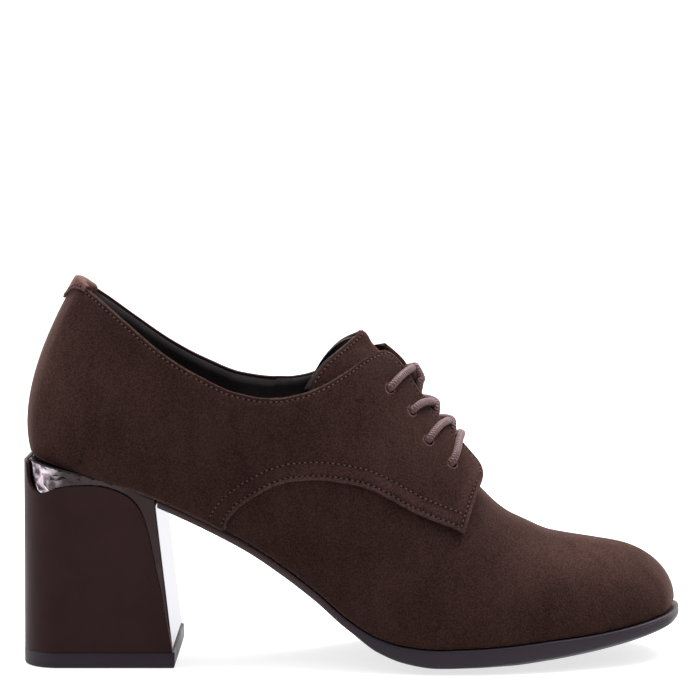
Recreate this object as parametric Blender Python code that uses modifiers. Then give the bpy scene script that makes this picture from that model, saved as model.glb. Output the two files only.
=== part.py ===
import math
from collections import namedtuple

import bmesh
import bpy
from mathutils import Vector

# Lengths are in millimetres here and become metres when a mesh is made.
MM = 0.001
MIDDLE_X = 118.25
SIDE_SHIFT = 0.5
WALL = 1.6
SEAT = 0.4
QUARTER_THICK = 1.2
QUARTER_FOOT = 0.03
QUARTER_SEAT = 0.5
QUARTER_FRONT = 14.0
BACK_SEAM = 0.03
FINE_ROWS = (6.0, 11.0)
TONGUE_SEAT = 0.85
COLLAR_ROWS = (7.0, 14.5)
LIFT_ROWS = (12.2, 13.9)
LIFT_RISE = (0.45, 0.9)
TONGUE_THICK = 2.2
INSOLE_THICK = 2.0
INSOLE_PLAY = 0.6
FACING_GAP = 4.5
FACING_LIFT = 4.4
TAB_THICK = 0.9
TAB_INSIDE = 6.0
TAB_BEVEL = 0.5
TAB_LEAN = 0.06
LACE_RADIUS = 1.2
LACE_ARCH = 0.8
LACE_STEPS = 7
HEEL_WIDTH = 26.2
HEEL_TOP_WIDTH = 27.6
HEEL_LENGTH = 55.2
HEEL_TOP_LENGTH = 47.2
HEEL_CORNER = 13.0
HEEL_BACK = 1.3
HEEL_HEIGHT = 72.0
HEEL_RUNGS = 12
TOP_PIECE = 5.6
COVER_THICK = 1.2
CUTTER_RISE = 12.0
CUTTER_REACH = 9.0
CUTTER_FRONT = 80.0
CUTTER_TOP = 90.0
STATION_STEPS = 2
FINE_STEPS = 4
RISE_STEPS = 10
SOLE_STEPS = 8
FLAT_STEPS = 2
SEARCH_STEPS = 60
SEARCH_HALVINGS = 14
RUN_STEP = 0.05
NORMAL_STEP = 0.02
WELD = 1e-6

# One row per section from the heel back to the toe tip. x, mid, lat, med and rim place its two feet on the
# sole; top_x, top_y and top_z end it at the collar or on the ridge of the last; rise lifts the medial
# collar; out1, up1, out2, down2 and back2 are the handles of the curve between foot and top; gap is half
# the opening between the facings.
Section = namedtuple(
    "Section", "x mid lat med rim top_x top_y top_z rise out1 up1 out2 down2 back2 gap"
)
SECTIONS = [
    Section(4.8, 0.0, 0.0, 0.0, 72.6, 20.8, 0.0, 134.5, 0.0, 6.1, 18.6, 10.7, 18.2, 0.0, 0.0),
    Section(7.0, 0.0, 11.0, 11.0, 72.1, 22.6, 8.0, 133.4, 0.0, 5.8, 18.5, 9.5, 18.0, 0.0, 0.0),
    Section(14.0, 0.0, 19.3, 19.3, 70.4, 28.5, 14.8, 129.6, 0.0, 5.4, 18.0, 7.0, 18.0, 0.0, 0.0),
    Section(26.0, 0.0, 24.8, 24.8, 67.4, 39.0, 21.6, 121.3, 0.0, 5.8, 17.0, 4.5, 17.0, 0.0, 0.0),
    Section(39.0, 0.0, 26.3, 26.1, 63.7, 52.0, 26.6, 111.0, 0.2, 6.2, 15.0, 3.0, 15.0, 0.0, 0.0),
    Section(49.5, 0.0, 25.8, 25.2, 59.6, 64.0, 28.6, 103.6, 0.6, 6.8, 14.0, 2.5, 15.0, 0.0, 0.0),
    Section(63.0, 0.0, 24.0, 22.4, 53.1, 77.0, 29.0, 97.6, 1.1, 8.0, 14.0, 2.5, 15.0, 0.0, 0.0),
    Section(78.0, 0.0, 23.2, 20.4, 45.2, 89.0, 28.4, 95.4, 1.8, 9.0, 14.0, 3.0, 15.0, 0.0, 0.0),
    Section(85.0, 0.0, 23.7, 20.3, 41.1, 101.0, 20.0, 107.5, 1.0, 9.3, 16.0, 13.5, 11.0, 6.0, 18.0),
    Section(92.0, 0.0, 24.6, 20.8, 36.6, 121.6, 0.0, 118.6, 0.0, 9.5, 20.0, 34.0, 0.5, 17.5, 14.0),
    Section(104.0, 0.0, 27.4, 22.8, 28.0, 128.6, 0.0, 112.0, 0.0, 9.0, 22.0, 32.0, -2.5, 15.5, 9.0),
    Section(115.5, 0.0, 30.8, 26.4, 18.6, 136.2, 0.0, 103.9, 0.0, 8.0, 22.0, 28.5, -1.5, 10.5, 7.0),
    Section(126.0, 0.0, 33.8, 30.2, 12.5, 142.6, 0.0, 92.8, 0.0, 7.0, 20.0, 26.0, -2.0, 6.0, 6.5),
    Section(136.0, 0.0, 36.0, 33.8, 9.8, 150.0, 0.0, 80.4, 0.0, 6.0, 19.0, 24.0, -1.5, 3.5, 5.5),
    Section(147.0, 0.0, 37.2, 36.5, 8.9, 162.5, 0.0, 61.6, 0.0, 5.2, 18.0, 22.5, 0.0, 1.0, 0.0),
    Section(160.0, 0.3, 37.5, 38.0, 9.3, 173.0, 0.0, 52.4, 0.0, 4.5, 16.0, 22.0, 0.0, 0.0, 0.0),
    Section(173.0, 0.6, 36.4, 37.9, 10.1, 180.5, 0.0, 48.0, 0.0, 4.0, 14.0, 21.5, 0.0, 0.0, 0.0),
    Section(186.0, 1.0, 34.0, 36.2, 11.3, 188.0, 0.0, 44.8, 0.0, 3.5, 13.0, 20.0, 0.0, 0.0, 0.0),
    Section(199.0, 1.5, 30.2, 32.5, 12.2, 196.0, 0.0, 43.2, 0.0, 3.0, 12.5, 18.0, 0.0, 0.0, 0.0),
    Section(211.5, 2.0, 25.8, 27.6, 13.7, 201.0, 0.0, 42.4, 0.0, 2.6, 12.5, 16.0, 0.2, 0.0, 0.0),
    Section(222.3, 2.5, 20.2, 21.4, 15.5, 205.0, 0.0, 41.7, 0.0, 2.0, 12.5, 14.5, 0.5, 0.0, 0.0),
    Section(230.1, 3.0, 12.8, 13.4, 17.2, 207.5, 0.0, 41.3, 0.0, 1.5, 12.5, 13.0, 0.8, 0.0, 0.0),
    Section(233.6, 3.2, 0.0, 0.0, 18.4, 209.0, 0.0, 41.0, 0.0, 1.1, 12.3, 13.0, 0.8, 0.0, 0.0),
]

# The sole from the heel breast to the toe: welt is how far it stands out from the foot of the upper, edge is
# its thickness there and ground is the height of its underside along the middle.
SoleRow = namedtuple("SoleRow", "row welt edge ground")
SOLE = [
    SoleRow(5, -1.2, 2.6, 56.5),
    SoleRow(6, -1.2, 2.6, 50.1),
    SoleRow(7, -1.2, 2.6, 42.2),
    SoleRow(8, -1.2, 2.6, 38.1),
    SoleRow(9, -1.2, 2.6, 33.6),
    SoleRow(10, -1.0, 2.6, 25.0),
    SoleRow(11, -0.6, 2.8, 15.4),
    SoleRow(11.4, -0.4, 3.6, 11.8),
    SoleRow(11.6, 0.0, 5.6, 9.2),
    SoleRow(12, 0.3, 7.4, 4.6),
    SoleRow(13, 0.6, 7.8, 0.5),
    SoleRow(14, 0.6, 7.4, 0.0),
    SoleRow(15, 0.6, 7.1, 0.0),
    SoleRow(16, 0.6, 6.7, 0.3),
    SoleRow(17, 0.7, 6.2, 1.6),
    SoleRow(18, 0.8, 5.4, 3.4),
    SoleRow(19, 1.0, 4.6, 5.8),
    SoleRow(20, 1.2, 4.4, 8.4),
    SoleRow(21, 1.4, 4.4, 11.0),
    SoleRow(22, 1.6, 4.4, 13.4),
]
SOLE_FLAT = 0.55
SHANK_ROWS = (11.0, 13.0)
SHANK_STEPS = 5

# Side view lines, each point an (x, z) pair: the collar in front of the ankle, the lower edge of the
# quarters and the edge of the heel cover.
COLLAR = [
    (84.0, 95.4), (92.5, 95.5), (99.0, 96.4), (107.0, 99.2), (114.3, 103.2),
    (121.6, 107.6), (127.6, 110.0), (133.0, 107.8), (138.0, 104.6),
]
LAP = [
    (70.4, 46.0), (74.5, 53.1), (77.7, 57.2), (84.4, 62.0), (91.0, 65.3), (98.0, 66.9),
    (104.6, 67.6), (117.7, 66.2), (124.3, 64.2), (137.5, 57.6), (151.0, 51.3), (160.0, 47.5),
]
COVER_EDGE = [
    (3.4, 74.5), (3.2, 68.0), (5.2, 63.2), (8.6, 61.5), (14.6, 63.3), (21.0, 64.5),
    (27.0, 64.6), (33.0, 63.6), (38.1, 61.2), (42.3, 57.7), (45.0, 52.4), (46.7, 45.9),
    (48.8, 35.3), (51.2, 23.6), (53.6, 11.6), (54.6, 4.0),
]

# Places on the last, with the row counted along SECTIONS: (row, half width) of the tongue, (row, height) of
# the tab and (row, distance from the ridge) of the lace holes.
TONGUE_ROWS = [(9.0, 24.5), (10.0, 25.5), (11.0, 25.5), (12.0, 24.5), (13.0, 22.0), (13.9, 18.0)]
TAB_ROWS = [(0.0, 8.6), (0.5, 7.0), (1.0, 5.0), (1.5, 3.0), (1.9, 1.6)]
HOLES = [(10.62, 17.0), (11.48, 16.5), (12.3, 16.0), (13.15, 14.5)]

Colour = namedtuple("Colour", "rgb roughness metallic")
SUEDE = Colour((0.043, 0.025, 0.019), 0.95, 0.0)
SUEDE_RED = Colour((0.060, 0.033, 0.026), 0.95, 0.0)
LINING = Colour((0.008, 0.008, 0.009), 0.6, 0.0)
RUBBER = Colour((0.012, 0.012, 0.014), 0.55, 0.0)
MIRROR = Colour((0.85, 0.85, 0.86), 0.05, 1.0)
COVER = Colour((0.030, 0.019, 0.014), 0.45, 0.0)
CORD = Colour((0.115, 0.062, 0.055), 0.7, 0.0)

LAST_ROW = len(SECTIONS) - 1
ROUND = 2 * LAST_ROW


def clear_scene():
    for obj in list(bpy.data.objects):
        bpy.data.objects.remove(obj, do_unlink=True)


def new_collection(name):
    collection = bpy.data.collections.new(name)
    bpy.context.scene.collection.children.link(collection)
    return collection


def slope(before, here, after):
    back = here - before
    ahead = after - here
    return 2.0 * back * ahead / (back + ahead) if back * ahead > 0.0 else 0.0


def hermite(v0, v1, v2, v3, t):
    m1 = slope(v0, v1, v2)
    m2 = slope(v1, v2, v3)
    t2 = t * t
    t3 = t2 * t
    return (2 * t3 - 3 * t2 + 1) * v1 + (t3 - 2 * t2 + t) * m1 + (3 * t2 - 2 * t3) * v2 + (t3 - t2) * m2


def around(values, u):
    """Value at u of a column that closes on itself."""
    i = math.floor(u)
    v0, v1, v2, v3 = (values[(i + k) % len(values)] for k in (-1, 0, 1, 2))
    return hermite(v0, v1, v2, v3, u - i)


def along(pairs, at):
    """Value at a place on a line of (place, value) pairs, held level past its ends."""
    if at <= pairs[0][0]:
        return pairs[0][1]
    for i in range(len(pairs) - 1):
        x1, y1 = pairs[i]
        x2, y2 = pairs[i + 1]
        if at > x2:
            continue
        span = x2 - x1
        x0, y0 = pairs[i - 1] if i else (x1 - span, y1)
        x3, y3 = pairs[i + 2] if i + 2 < len(pairs) else (x2 + span, y2)
        m1 = slope(y1 - (y1 - y0) * span / (x1 - x0), y1, y2)
        m2 = slope(y1, y2, y2 + (y3 - y2) * span / (x3 - x2))
        t = (at - x1) / span
        t2 = t * t
        t3 = t2 * t
        return (2 * t3 - 3 * t2 + 1) * y1 + (t3 - 2 * t2 + t) * m1 + (3 * t2 - 2 * t3) * y2 + (t3 - t2) * m2
    return pairs[-1][1]


def ring_columns():
    """The rows run up the lateral side and back down the medial side as one closed ring."""
    lateral = [(row, -1.0) for row in SECTIONS]
    medial = [(row, 1.0) for row in SECTIONS[-2:0:-1]]
    columns = {}
    for name in ("x", "mid", "rim", "top_x", "out1", "up1", "out2", "down2", "back2", "gap"):
        columns[name] = [getattr(row, name) for row, side in lateral + medial]
    columns["y"] = [row.mid + (row.med if side > 0.0 else -row.lat) for row, side in lateral + medial]
    columns["top_y"] = [row.mid + side * row.top_y for row, side in lateral + medial]
    columns["top_z"] = [row.top_z + (row.rise if side > 0.0 else 0.0) for row, side in lateral + medial]
    return columns


RING = ring_columns()


def foot(u):
    return Vector((around(RING["x"], u), around(RING["y"], u), around(RING["rim"], u)))


def outward(u):
    """Direction away from the foot line, level with the ground."""
    run = foot(u + RUN_STEP) - foot(u - RUN_STEP)
    return Vector((run.y, -run.x, 0.0)).normalized()


def last(u, s):
    """Point of the last at u round the foot line and s from the foot (0) to the top (1)."""
    out = outward(u)
    p0 = foot(u)
    p3 = Vector((around(RING["top_x"], u), around(RING["top_y"], u), around(RING["top_z"], u)))
    p1 = p0 + out * around(RING["out1"], u) + Vector((0.0, 0.0, around(RING["up1"], u)))
    back = Vector((around(RING["back2"], u), 0.0, around(RING["down2"], u)))
    p2 = p3 + out * around(RING["out2"], u) - back
    r = 1.0 - s
    return p0 * (r * r * r) + p1 * (3 * r * r * s) + p2 * (3 * r * s * s) + p3 * (s * s * s)


def normal(u, s):
    low = max(s - NORMAL_STEP, 0.0)
    high = min(s + NORMAL_STEP, 1.0)
    run = last(u + NORMAL_STEP, s) - last(u - NORMAL_STEP, s)
    rise = last(u, high) - last(u, low)
    return run.cross(rise).normalized()


def raised(u, s, height):
    return last(u, s) + normal(u, s) * height


def from_ridge(u, s):
    return abs(last(u, s).y - around(RING["mid"], u))


def first_s(test, start=0.0):
    """Lowest s, to a fine step, at which the test holds, or 1."""
    low = start
    for i in range(1, SEARCH_STEPS + 1):
        high = start + (1.0 - start) * i / SEARCH_STEPS
        if test(high):
            for _ in range(SEARCH_HALVINGS):
                middle = 0.5 * (low + high)
                if test(middle):
                    high = middle
                else:
                    low = middle
            return high
        low = high
    return 1.0


def row_of(u):
    """Row number counted from the heel back on either side."""
    turned = u % ROUND
    return turned if turned <= LAST_ROW else ROUND - turned


def collar_height(u, x):
    rise = SECTIONS[7].rise if u % ROUND > LAST_ROW else 0.0
    return along(COLLAR, x) + rise


def top_s(u, least_gap=0.0):
    """Where the upper stops: at the collar, at the facing edge or on the ridge."""
    row = row_of(u)
    if row <= COLLAR_ROWS[0] or row >= COLLAR_ROWS[1]:
        return 1.0
    gap = max(around(RING["gap"], u), least_gap)

    def outside(s):
        point = last(u, s)
        return point.z > collar_height(u, point.x) or abs(point.y - around(RING["mid"], u)) < gap

    return first_s(outside, 0.4)


def lap_s(u):
    """Where the quarter starts: at the foot, or at its curved lower edge."""
    def above(s):
        point = last(u, s)
        return point.x < LAP[0][0] or point.z > along(LAP, point.x)

    return QUARTER_FOOT if above(QUARTER_FOOT) else first_s(above)


def ramp(value, start, end):
    t = min(max((value - start) / (end - start), 0.0), 1.0)
    return t * t * (3.0 - 2.0 * t)


def facing_lift(u, s):
    """The front of the facing stands clear of the vamp."""
    return FACING_LIFT * ramp(row_of(u), *LIFT_ROWS) * ramp(s, *LIFT_RISE)


def grid_faces(bm, rows, closed=False):
    """Faces between rows of points, the rows being of one length."""
    verts = [[bm.verts.new(point * MM) for point in row] for row in rows]
    pairs = list(zip(verts, verts[1:] + verts[:1])) if closed else list(zip(verts, verts[1:]))
    for left, right in pairs:
        for k in range(len(left) - 1):
            bm.faces.new((left[k], right[k], right[k + 1], left[k + 1]))
    return verts


def placed(bm):
    shift = Vector((-MIDDLE_X, -SIDE_SHIFT, 0.0)) * MM
    bmesh.ops.translate(bm, verts=bm.verts, vec=shift)


def mesh_object(name, bm, collection, colour=None):
    bmesh.ops.remove_doubles(bm, verts=bm.verts, dist=WELD)
    mesh = bpy.data.meshes.new(name)
    bm.to_mesh(mesh)
    bm.free()
    obj = bpy.data.objects.new(name, mesh)
    collection.objects.link(obj)
    if colour:
        paint(obj, colour)
    return obj


def paint(obj, colour):
    material = bpy.data.materials.new(obj.name + "_finish")
    material.use_nodes = True
    shader = material.node_tree.nodes["Principled BSDF"]
    shader.inputs["Base Color"].default_value = (*colour.rgb, 1.0)
    shader.inputs["Roughness"].default_value = colour.roughness
    shader.inputs["Metallic"].default_value = colour.metallic
    obj.data.materials.append(material)
    if obj.type == "MESH":
        obj.data.shade_smooth()


def thicken(obj, thickness, side):
    """side -1 puts the wall inside the surface and 1 puts it outside."""
    shell = obj.modifiers.new("wall", "SOLIDIFY")
    shell.thickness = thickness * MM
    shell.offset = side
    shell.use_even_offset = True
    shell.use_rim = True


def cut(obj, cutter, operation="DIFFERENCE"):
    boolean = obj.modifiers.new("cut", "BOOLEAN")
    boolean.operation = operation
    boolean.solver = "EXACT"
    boolean.object = cutter


def spaced(start, end, steps):
    count = max(1, round((end - start) * steps))
    return [start + (end - start) * i / count for i in range(count + 1)]


def stations(start, end):
    return spaced(start, end, STATION_STEPS)


def side_stations(start, end):
    """Rows up one side, closer together where the collar and the lap turn."""
    fine_start, fine_end = FINE_ROWS
    back = spaced(start, fine_start, STATION_STEPS)
    middle = spaced(fine_start, fine_end, FINE_STEPS)
    return back[:-1] + middle[:-1] + spaced(fine_end, end, STATION_STEPS)


def upper_surface(u):
    stop = top_s(u)
    return [last(u, stop * k / RISE_STEPS) for k in range(RISE_STEPS + 1)]


def make_upper(collection):
    bm = bmesh.new()
    lateral = side_stations(0.0, LAST_ROW)
    medial = [ROUND - row for row in lateral[-2:0:-1]]
    grid_faces(bm, [upper_surface(u) for u in lateral + medial], closed=True)
    placed(bm)
    obj = mesh_object("upper", bm, collection, SUEDE)
    thicken(obj, WALL, -1.0)
    return obj


def quarter_rows(places):
    rows = []
    for u in places:
        low = lap_s(u)
        high = top_s(u, FACING_GAP)
        row = []
        for k in range(RISE_STEPS + 1):
            s = low + (high - low) * k / RISE_STEPS
            row.append(raised(u, s, QUARTER_SEAT + facing_lift(u, s)))
        rows.append(row)
    return rows


def make_quarter(name, places, collection):
    bm = bmesh.new()
    grid_faces(bm, quarter_rows(places))
    placed(bm)
    obj = mesh_object(name, bm, collection, SUEDE)
    thicken(obj, QUARTER_THICK, 1.0)
    return obj


def tongue_half(u, half_width):
    start = first_s(lambda s: from_ridge(u, s) < half_width, 0.5)
    steps = RISE_STEPS // 2
    return [raised(u, start + (1.0 - start) * k / steps, -WALL - TONGUE_SEAT) for k in range(steps + 1)]


def make_tongue(collection):
    rows = []
    for row in stations(TONGUE_ROWS[0][0], TONGUE_ROWS[-1][0]):
        half_width = along(TONGUE_ROWS, row)
        lateral = tongue_half(row, half_width)
        medial = tongue_half(ROUND - row, half_width)
        ridge = (lateral[-1] + medial[-1]) / 2.0
        rows.append(lateral[:-1] + [ridge] + medial[-2::-1])
    bm = bmesh.new()
    grid_faces(bm, rows)
    placed(bm)
    obj = mesh_object("tongue", bm, collection, SUEDE_RED)
    thicken(obj, TONGUE_THICK, -1.0)
    return obj


def make_plate(name, rungs, collection, colour=None):
    """Solid between the upper and lower points of a row of rungs laid across the shoe."""
    bm = bmesh.new()
    loops = [above + below[::-1] for above, below in rungs]
    verts = [[bm.verts.new(point * MM) for point in loop] for loop in loops]
    for near, far in zip(verts, verts[1:]):
        for k in range(len(near)):
            following = (k + 1) % len(near)
            bm.faces.new((near[k], near[following], far[following], far[k]))
    half = len(loops[0]) // 2
    for end in (verts[0], verts[-1]):
        for k in range(half - 1):
            bm.faces.new((end[k], end[k + 1], end[-k - 2], end[-k - 1]))
    bmesh.ops.remove_doubles(bm, verts=bm.verts, dist=WELD)
    bmesh.ops.dissolve_degenerate(bm, edges=bm.edges, dist=WELD)
    bmesh.ops.recalc_face_normals(bm, faces=bm.faces)
    placed(bm)
    return mesh_object(name, bm, collection, colour)


def across(left, right, height, steps=FLAT_STEPS):
    """Points from left to right, each at the height given for its place -1 to 1 across."""
    points = []
    for k in range(steps + 1):
        v = 2.0 * k / steps - 1.0
        point = left.lerp(right, 0.5 * (v + 1.0))
        points.append(Vector((point.x, point.y, height(v))))
    return points


def edge_pair(row, offset):
    """The two ends of a rung: the foot line on each side, moved outward."""
    left = foot(row) + outward(row) * offset
    right = foot(ROUND - row) + outward(ROUND - row) * offset
    return left, right


def make_insole(collection):
    inset = -(WALL + INSOLE_PLAY)
    rungs = []
    for row in stations(0.0, LAST_ROW):
        left, right = edge_pair(row, inset)
        base = around(RING["rim"], row) + SEAT
        above = across(left, right, lambda v: base + INSOLE_THICK)
        rungs.append((above, across(left, right, lambda v: base)))
    return make_plate("insole", rungs, collection, LINING)


def make_outsole(collection):
    welts = [(row.row, row.welt) for row in SOLE]
    edges = [(row.row, row.edge) for row in SOLE]
    grounds = [(row.row, row.ground) for row in SOLE]
    rungs = []
    places = stations(SOLE[0].row, SHANK_ROWS[0])[:-1] + spaced(*SHANK_ROWS, SHANK_STEPS)[:-1]
    for row in places + stations(SHANK_ROWS[1], LAST_ROW):
        left, right = edge_pair(row, along(welts, row))
        top = around(RING["rim"], row) - SEAT
        edge = top - along(edges, row)
        ground = along(grounds, row) if row < LAST_ROW else edge

        def underside(v):
            away = max(abs(v) - SOLE_FLAT, 0.0) / (1.0 - SOLE_FLAT)
            return ground + (edge - ground) * away * away

        above = across(left, right, lambda v: top, SOLE_STEPS)
        rungs.append((above, across(left, right, underside, SOLE_STEPS)))
    return make_plate("outsole", rungs, collection, RUBBER)


def heel_seat(x):
    return along([(row.x, row.rim) for row in SECTIONS[:6]], x) - SEAT


def heel_line(r, inset, reach, height):
    """Line across the heel block at r from back to breast: straight breast, rounded back corners, wider
    at the seat than at the ground."""
    z = height(0.0)
    for _ in range(4):
        up = z / HEEL_HEIGHT
        length = HEEL_LENGTH + (HEEL_TOP_LENGTH - HEEL_LENGTH) * up + reach
        half = HEEL_WIDTH + (HEEL_TOP_WIDTH - HEEL_WIDTH) * up
        x = HEEL_BACK + inset + (length - HEEL_BACK - inset) * r
        z = height(x)
    corner = HEEL_CORNER - inset
    short = max(corner - (x - HEEL_BACK - inset), 0.0)
    y = half - inset - corner + math.sqrt(corner * corner - short * short)
    return across(Vector((x, -y, 0.0)), Vector((x, y, 0.0)), lambda v: z)


def heel_rungs(inset, low, high, reach=0.0):
    rungs = []
    for i in range(HEEL_RUNGS + 1):
        r = 1.0 - math.cos(0.5 * math.pi * i / HEEL_RUNGS)
        rungs.append((heel_line(r, inset, reach, high), heel_line(r, inset, reach, low)))
    return rungs


def make_heel(collection, cutters):
    ground = TOP_PIECE + SEAT
    core_inset = COVER_THICK + SEAT
    make_plate("heel_core", heel_rungs(core_inset, lambda x: ground, heel_seat), collection, MIRROR)
    hollow_rungs = heel_rungs(COVER_THICK, lambda x: 0.0, lambda x: heel_seat(x) + CUTTER_RISE, CUTTER_REACH)
    hollow = make_plate("cover_hollow", hollow_rungs, cutters)
    cover = make_plate("heel_cover", heel_rungs(0.0, lambda x: ground, heel_seat), collection, COVER)
    bm = bmesh.new()
    reach = HEEL_TOP_WIDTH + CUTTER_REACH
    outline = COVER_EDGE + [
        (CUTTER_FRONT, COVER_EDGE[-1][1]), (CUTTER_FRONT, CUTTER_TOP), (COVER_EDGE[0][0], CUTTER_TOP),
    ]
    face = bm.faces.new([bm.verts.new(Vector((x, -reach, z)) * MM) for x, z in outline])
    swept = bmesh.ops.extrude_face_region(bm, geom=[face])
    moved = [part for part in swept["geom"] if isinstance(part, bmesh.types.BMVert)]
    bmesh.ops.translate(bm, verts=moved, vec=Vector((0.0, 2.0 * reach * MM, 0.0)))
    bmesh.ops.recalc_face_normals(bm, faces=bm.faces)
    placed(bm)
    profile = mesh_object("cover_profile", bm, cutters)
    cut(cover, hollow)
    cut(cover, profile)
    bottom = [
        ([Vector((p.x, p.y, TOP_PIECE)) for p in low], [Vector((p.x, p.y, 0.0)) for p in low])
        for high, low in heel_rungs(0.0, lambda x: 0.0, lambda x: TOP_PIECE)
    ]
    make_plate("heel_top_piece", bottom, collection, RUBBER)


def tab_loop(u, height):
    """Closed section of the tab, bent over the topline from outside to inside."""
    top = last(u, 1.0)
    out = normal(u, 1.0)
    up = (top - last(u, 1.0 - TAB_LEAN)).normalized()
    outer = QUARTER_SEAT + QUARTER_THICK + SEAT
    inner = WALL + SEAT
    depth = min(TAB_INSIDE, height)
    crown = SEAT + TAB_THICK
    shoulder = crown - TAB_BEVEL
    corners = [
        (outer, -height), (outer + TAB_THICK, -height), (outer + TAB_THICK, shoulder), (outer, crown),
        (-inner, crown), (-inner - TAB_THICK, shoulder), (-inner - TAB_THICK, -depth), (-inner, -depth),
        (-inner, SEAT), (outer, SEAT),
    ]
    return [top + out * across_wall + up * above for across_wall, above in corners]


def make_tab(collection):
    spread = [-row for row, height in TAB_ROWS[:0:-1]] + [row for row, height in TAB_ROWS]
    bm = bmesh.new()
    loops = [tab_loop(u, along(TAB_ROWS, abs(u))) for u in stations(spread[0], spread[-1])]
    verts = [[bm.verts.new(point * MM) for point in loop] for loop in loops]
    for near, far in zip(verts, verts[1:]):
        for k in range(len(near)):
            following = (k + 1) % len(near)
            bm.faces.new((near[k], near[following], far[following], far[k]))
    bm.faces.new(verts[0])
    bm.faces.new(verts[-1])
    bmesh.ops.recalc_face_normals(bm, faces=bm.faces)
    placed(bm)
    return mesh_object("heel_tab", bm, collection, SUEDE_RED)


def lace_point(row, y):
    """Point above the facings at a row and a signed distance from the ridge."""
    u = row if y <= 0.0 else ROUND - row
    s = first_s(lambda s: from_ridge(u, s) <= abs(y), 0.5)
    arch = LACE_ARCH * (1.0 - min(abs(y) / HOLES[0][1], 1.0) ** 2)
    height = QUARTER_SEAT + QUARTER_THICK + SEAT + facing_lift(u, s) + LACE_RADIUS + arch
    return raised(u, s, height)


def make_strand(name, start, end, collection):
    curve = bpy.data.curves.new(name, "CURVE")
    curve.dimensions = "3D"
    curve.bevel_depth = LACE_RADIUS * MM
    curve.bevel_resolution = 1
    curve.use_fill_caps = True
    spline = curve.splines.new("POLY")
    spline.points.add(LACE_STEPS)
    shift = Vector((-MIDDLE_X, -SIDE_SHIFT, 0.0))
    for i, point in enumerate(spline.points):
        t = i / LACE_STEPS
        row = start[0] + (end[0] - start[0]) * t
        y = -start[1] + (end[1] + start[1]) * t
        point.co = (*((lace_point(row, y) + shift) * MM), 1.0)
    strand = bpy.data.objects.new(name, curve)
    collection.objects.link(strand)
    graph = bpy.context.evaluated_depsgraph_get()
    mesh = bpy.data.meshes.new_from_object(strand.evaluated_get(graph))
    bpy.data.objects.remove(strand, do_unlink=True)
    bm = bmesh.new()
    bm.from_mesh(mesh)
    bmesh.ops.remove_doubles(bm, verts=bm.verts, dist=WELD)
    bmesh.ops.recalc_face_normals(bm, faces=bm.faces)
    return mesh_object(name, bm, collection)


def make_lace(collection, cutters):
    runs = [(HOLES[-1], HOLES[-1])]
    for upper_hole, lower_hole in zip(HOLES, HOLES[1:]):
        runs += [(upper_hole, lower_hole), (lower_hole, upper_hole)]
    lace = make_strand("lace", *runs[0], collection)
    for i, (start, end) in enumerate(runs[1:]):
        cut(lace, make_strand("lace_strand_%d" % i, start, end, cutters), "UNION")
    paint(lace, CORD)
    return lace


def main():
    clear_scene()
    parts = new_collection("lace_up_shoe")
    cutters = new_collection("cutters")
    make_upper(parts)
    side = side_stations(BACK_SEAM, QUARTER_FRONT)
    make_quarter("quarter_lateral", side, parts)
    make_quarter("quarter_medial", [ROUND - row for row in reversed(side)], parts)
    make_tongue(parts)
    make_insole(parts)
    make_outsole(parts)
    make_heel(parts, cutters)
    make_tab(parts)
    make_lace(parts, cutters)
    for obj in cutters.objects:
        obj.hide_render = True
        obj.display_type = "WIRE"


main()
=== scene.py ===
import math

import bmesh
import bpy
from mathutils import Matrix, Vector, kdtree, noise
from mathutils.bvhtree import BVHTree


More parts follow.
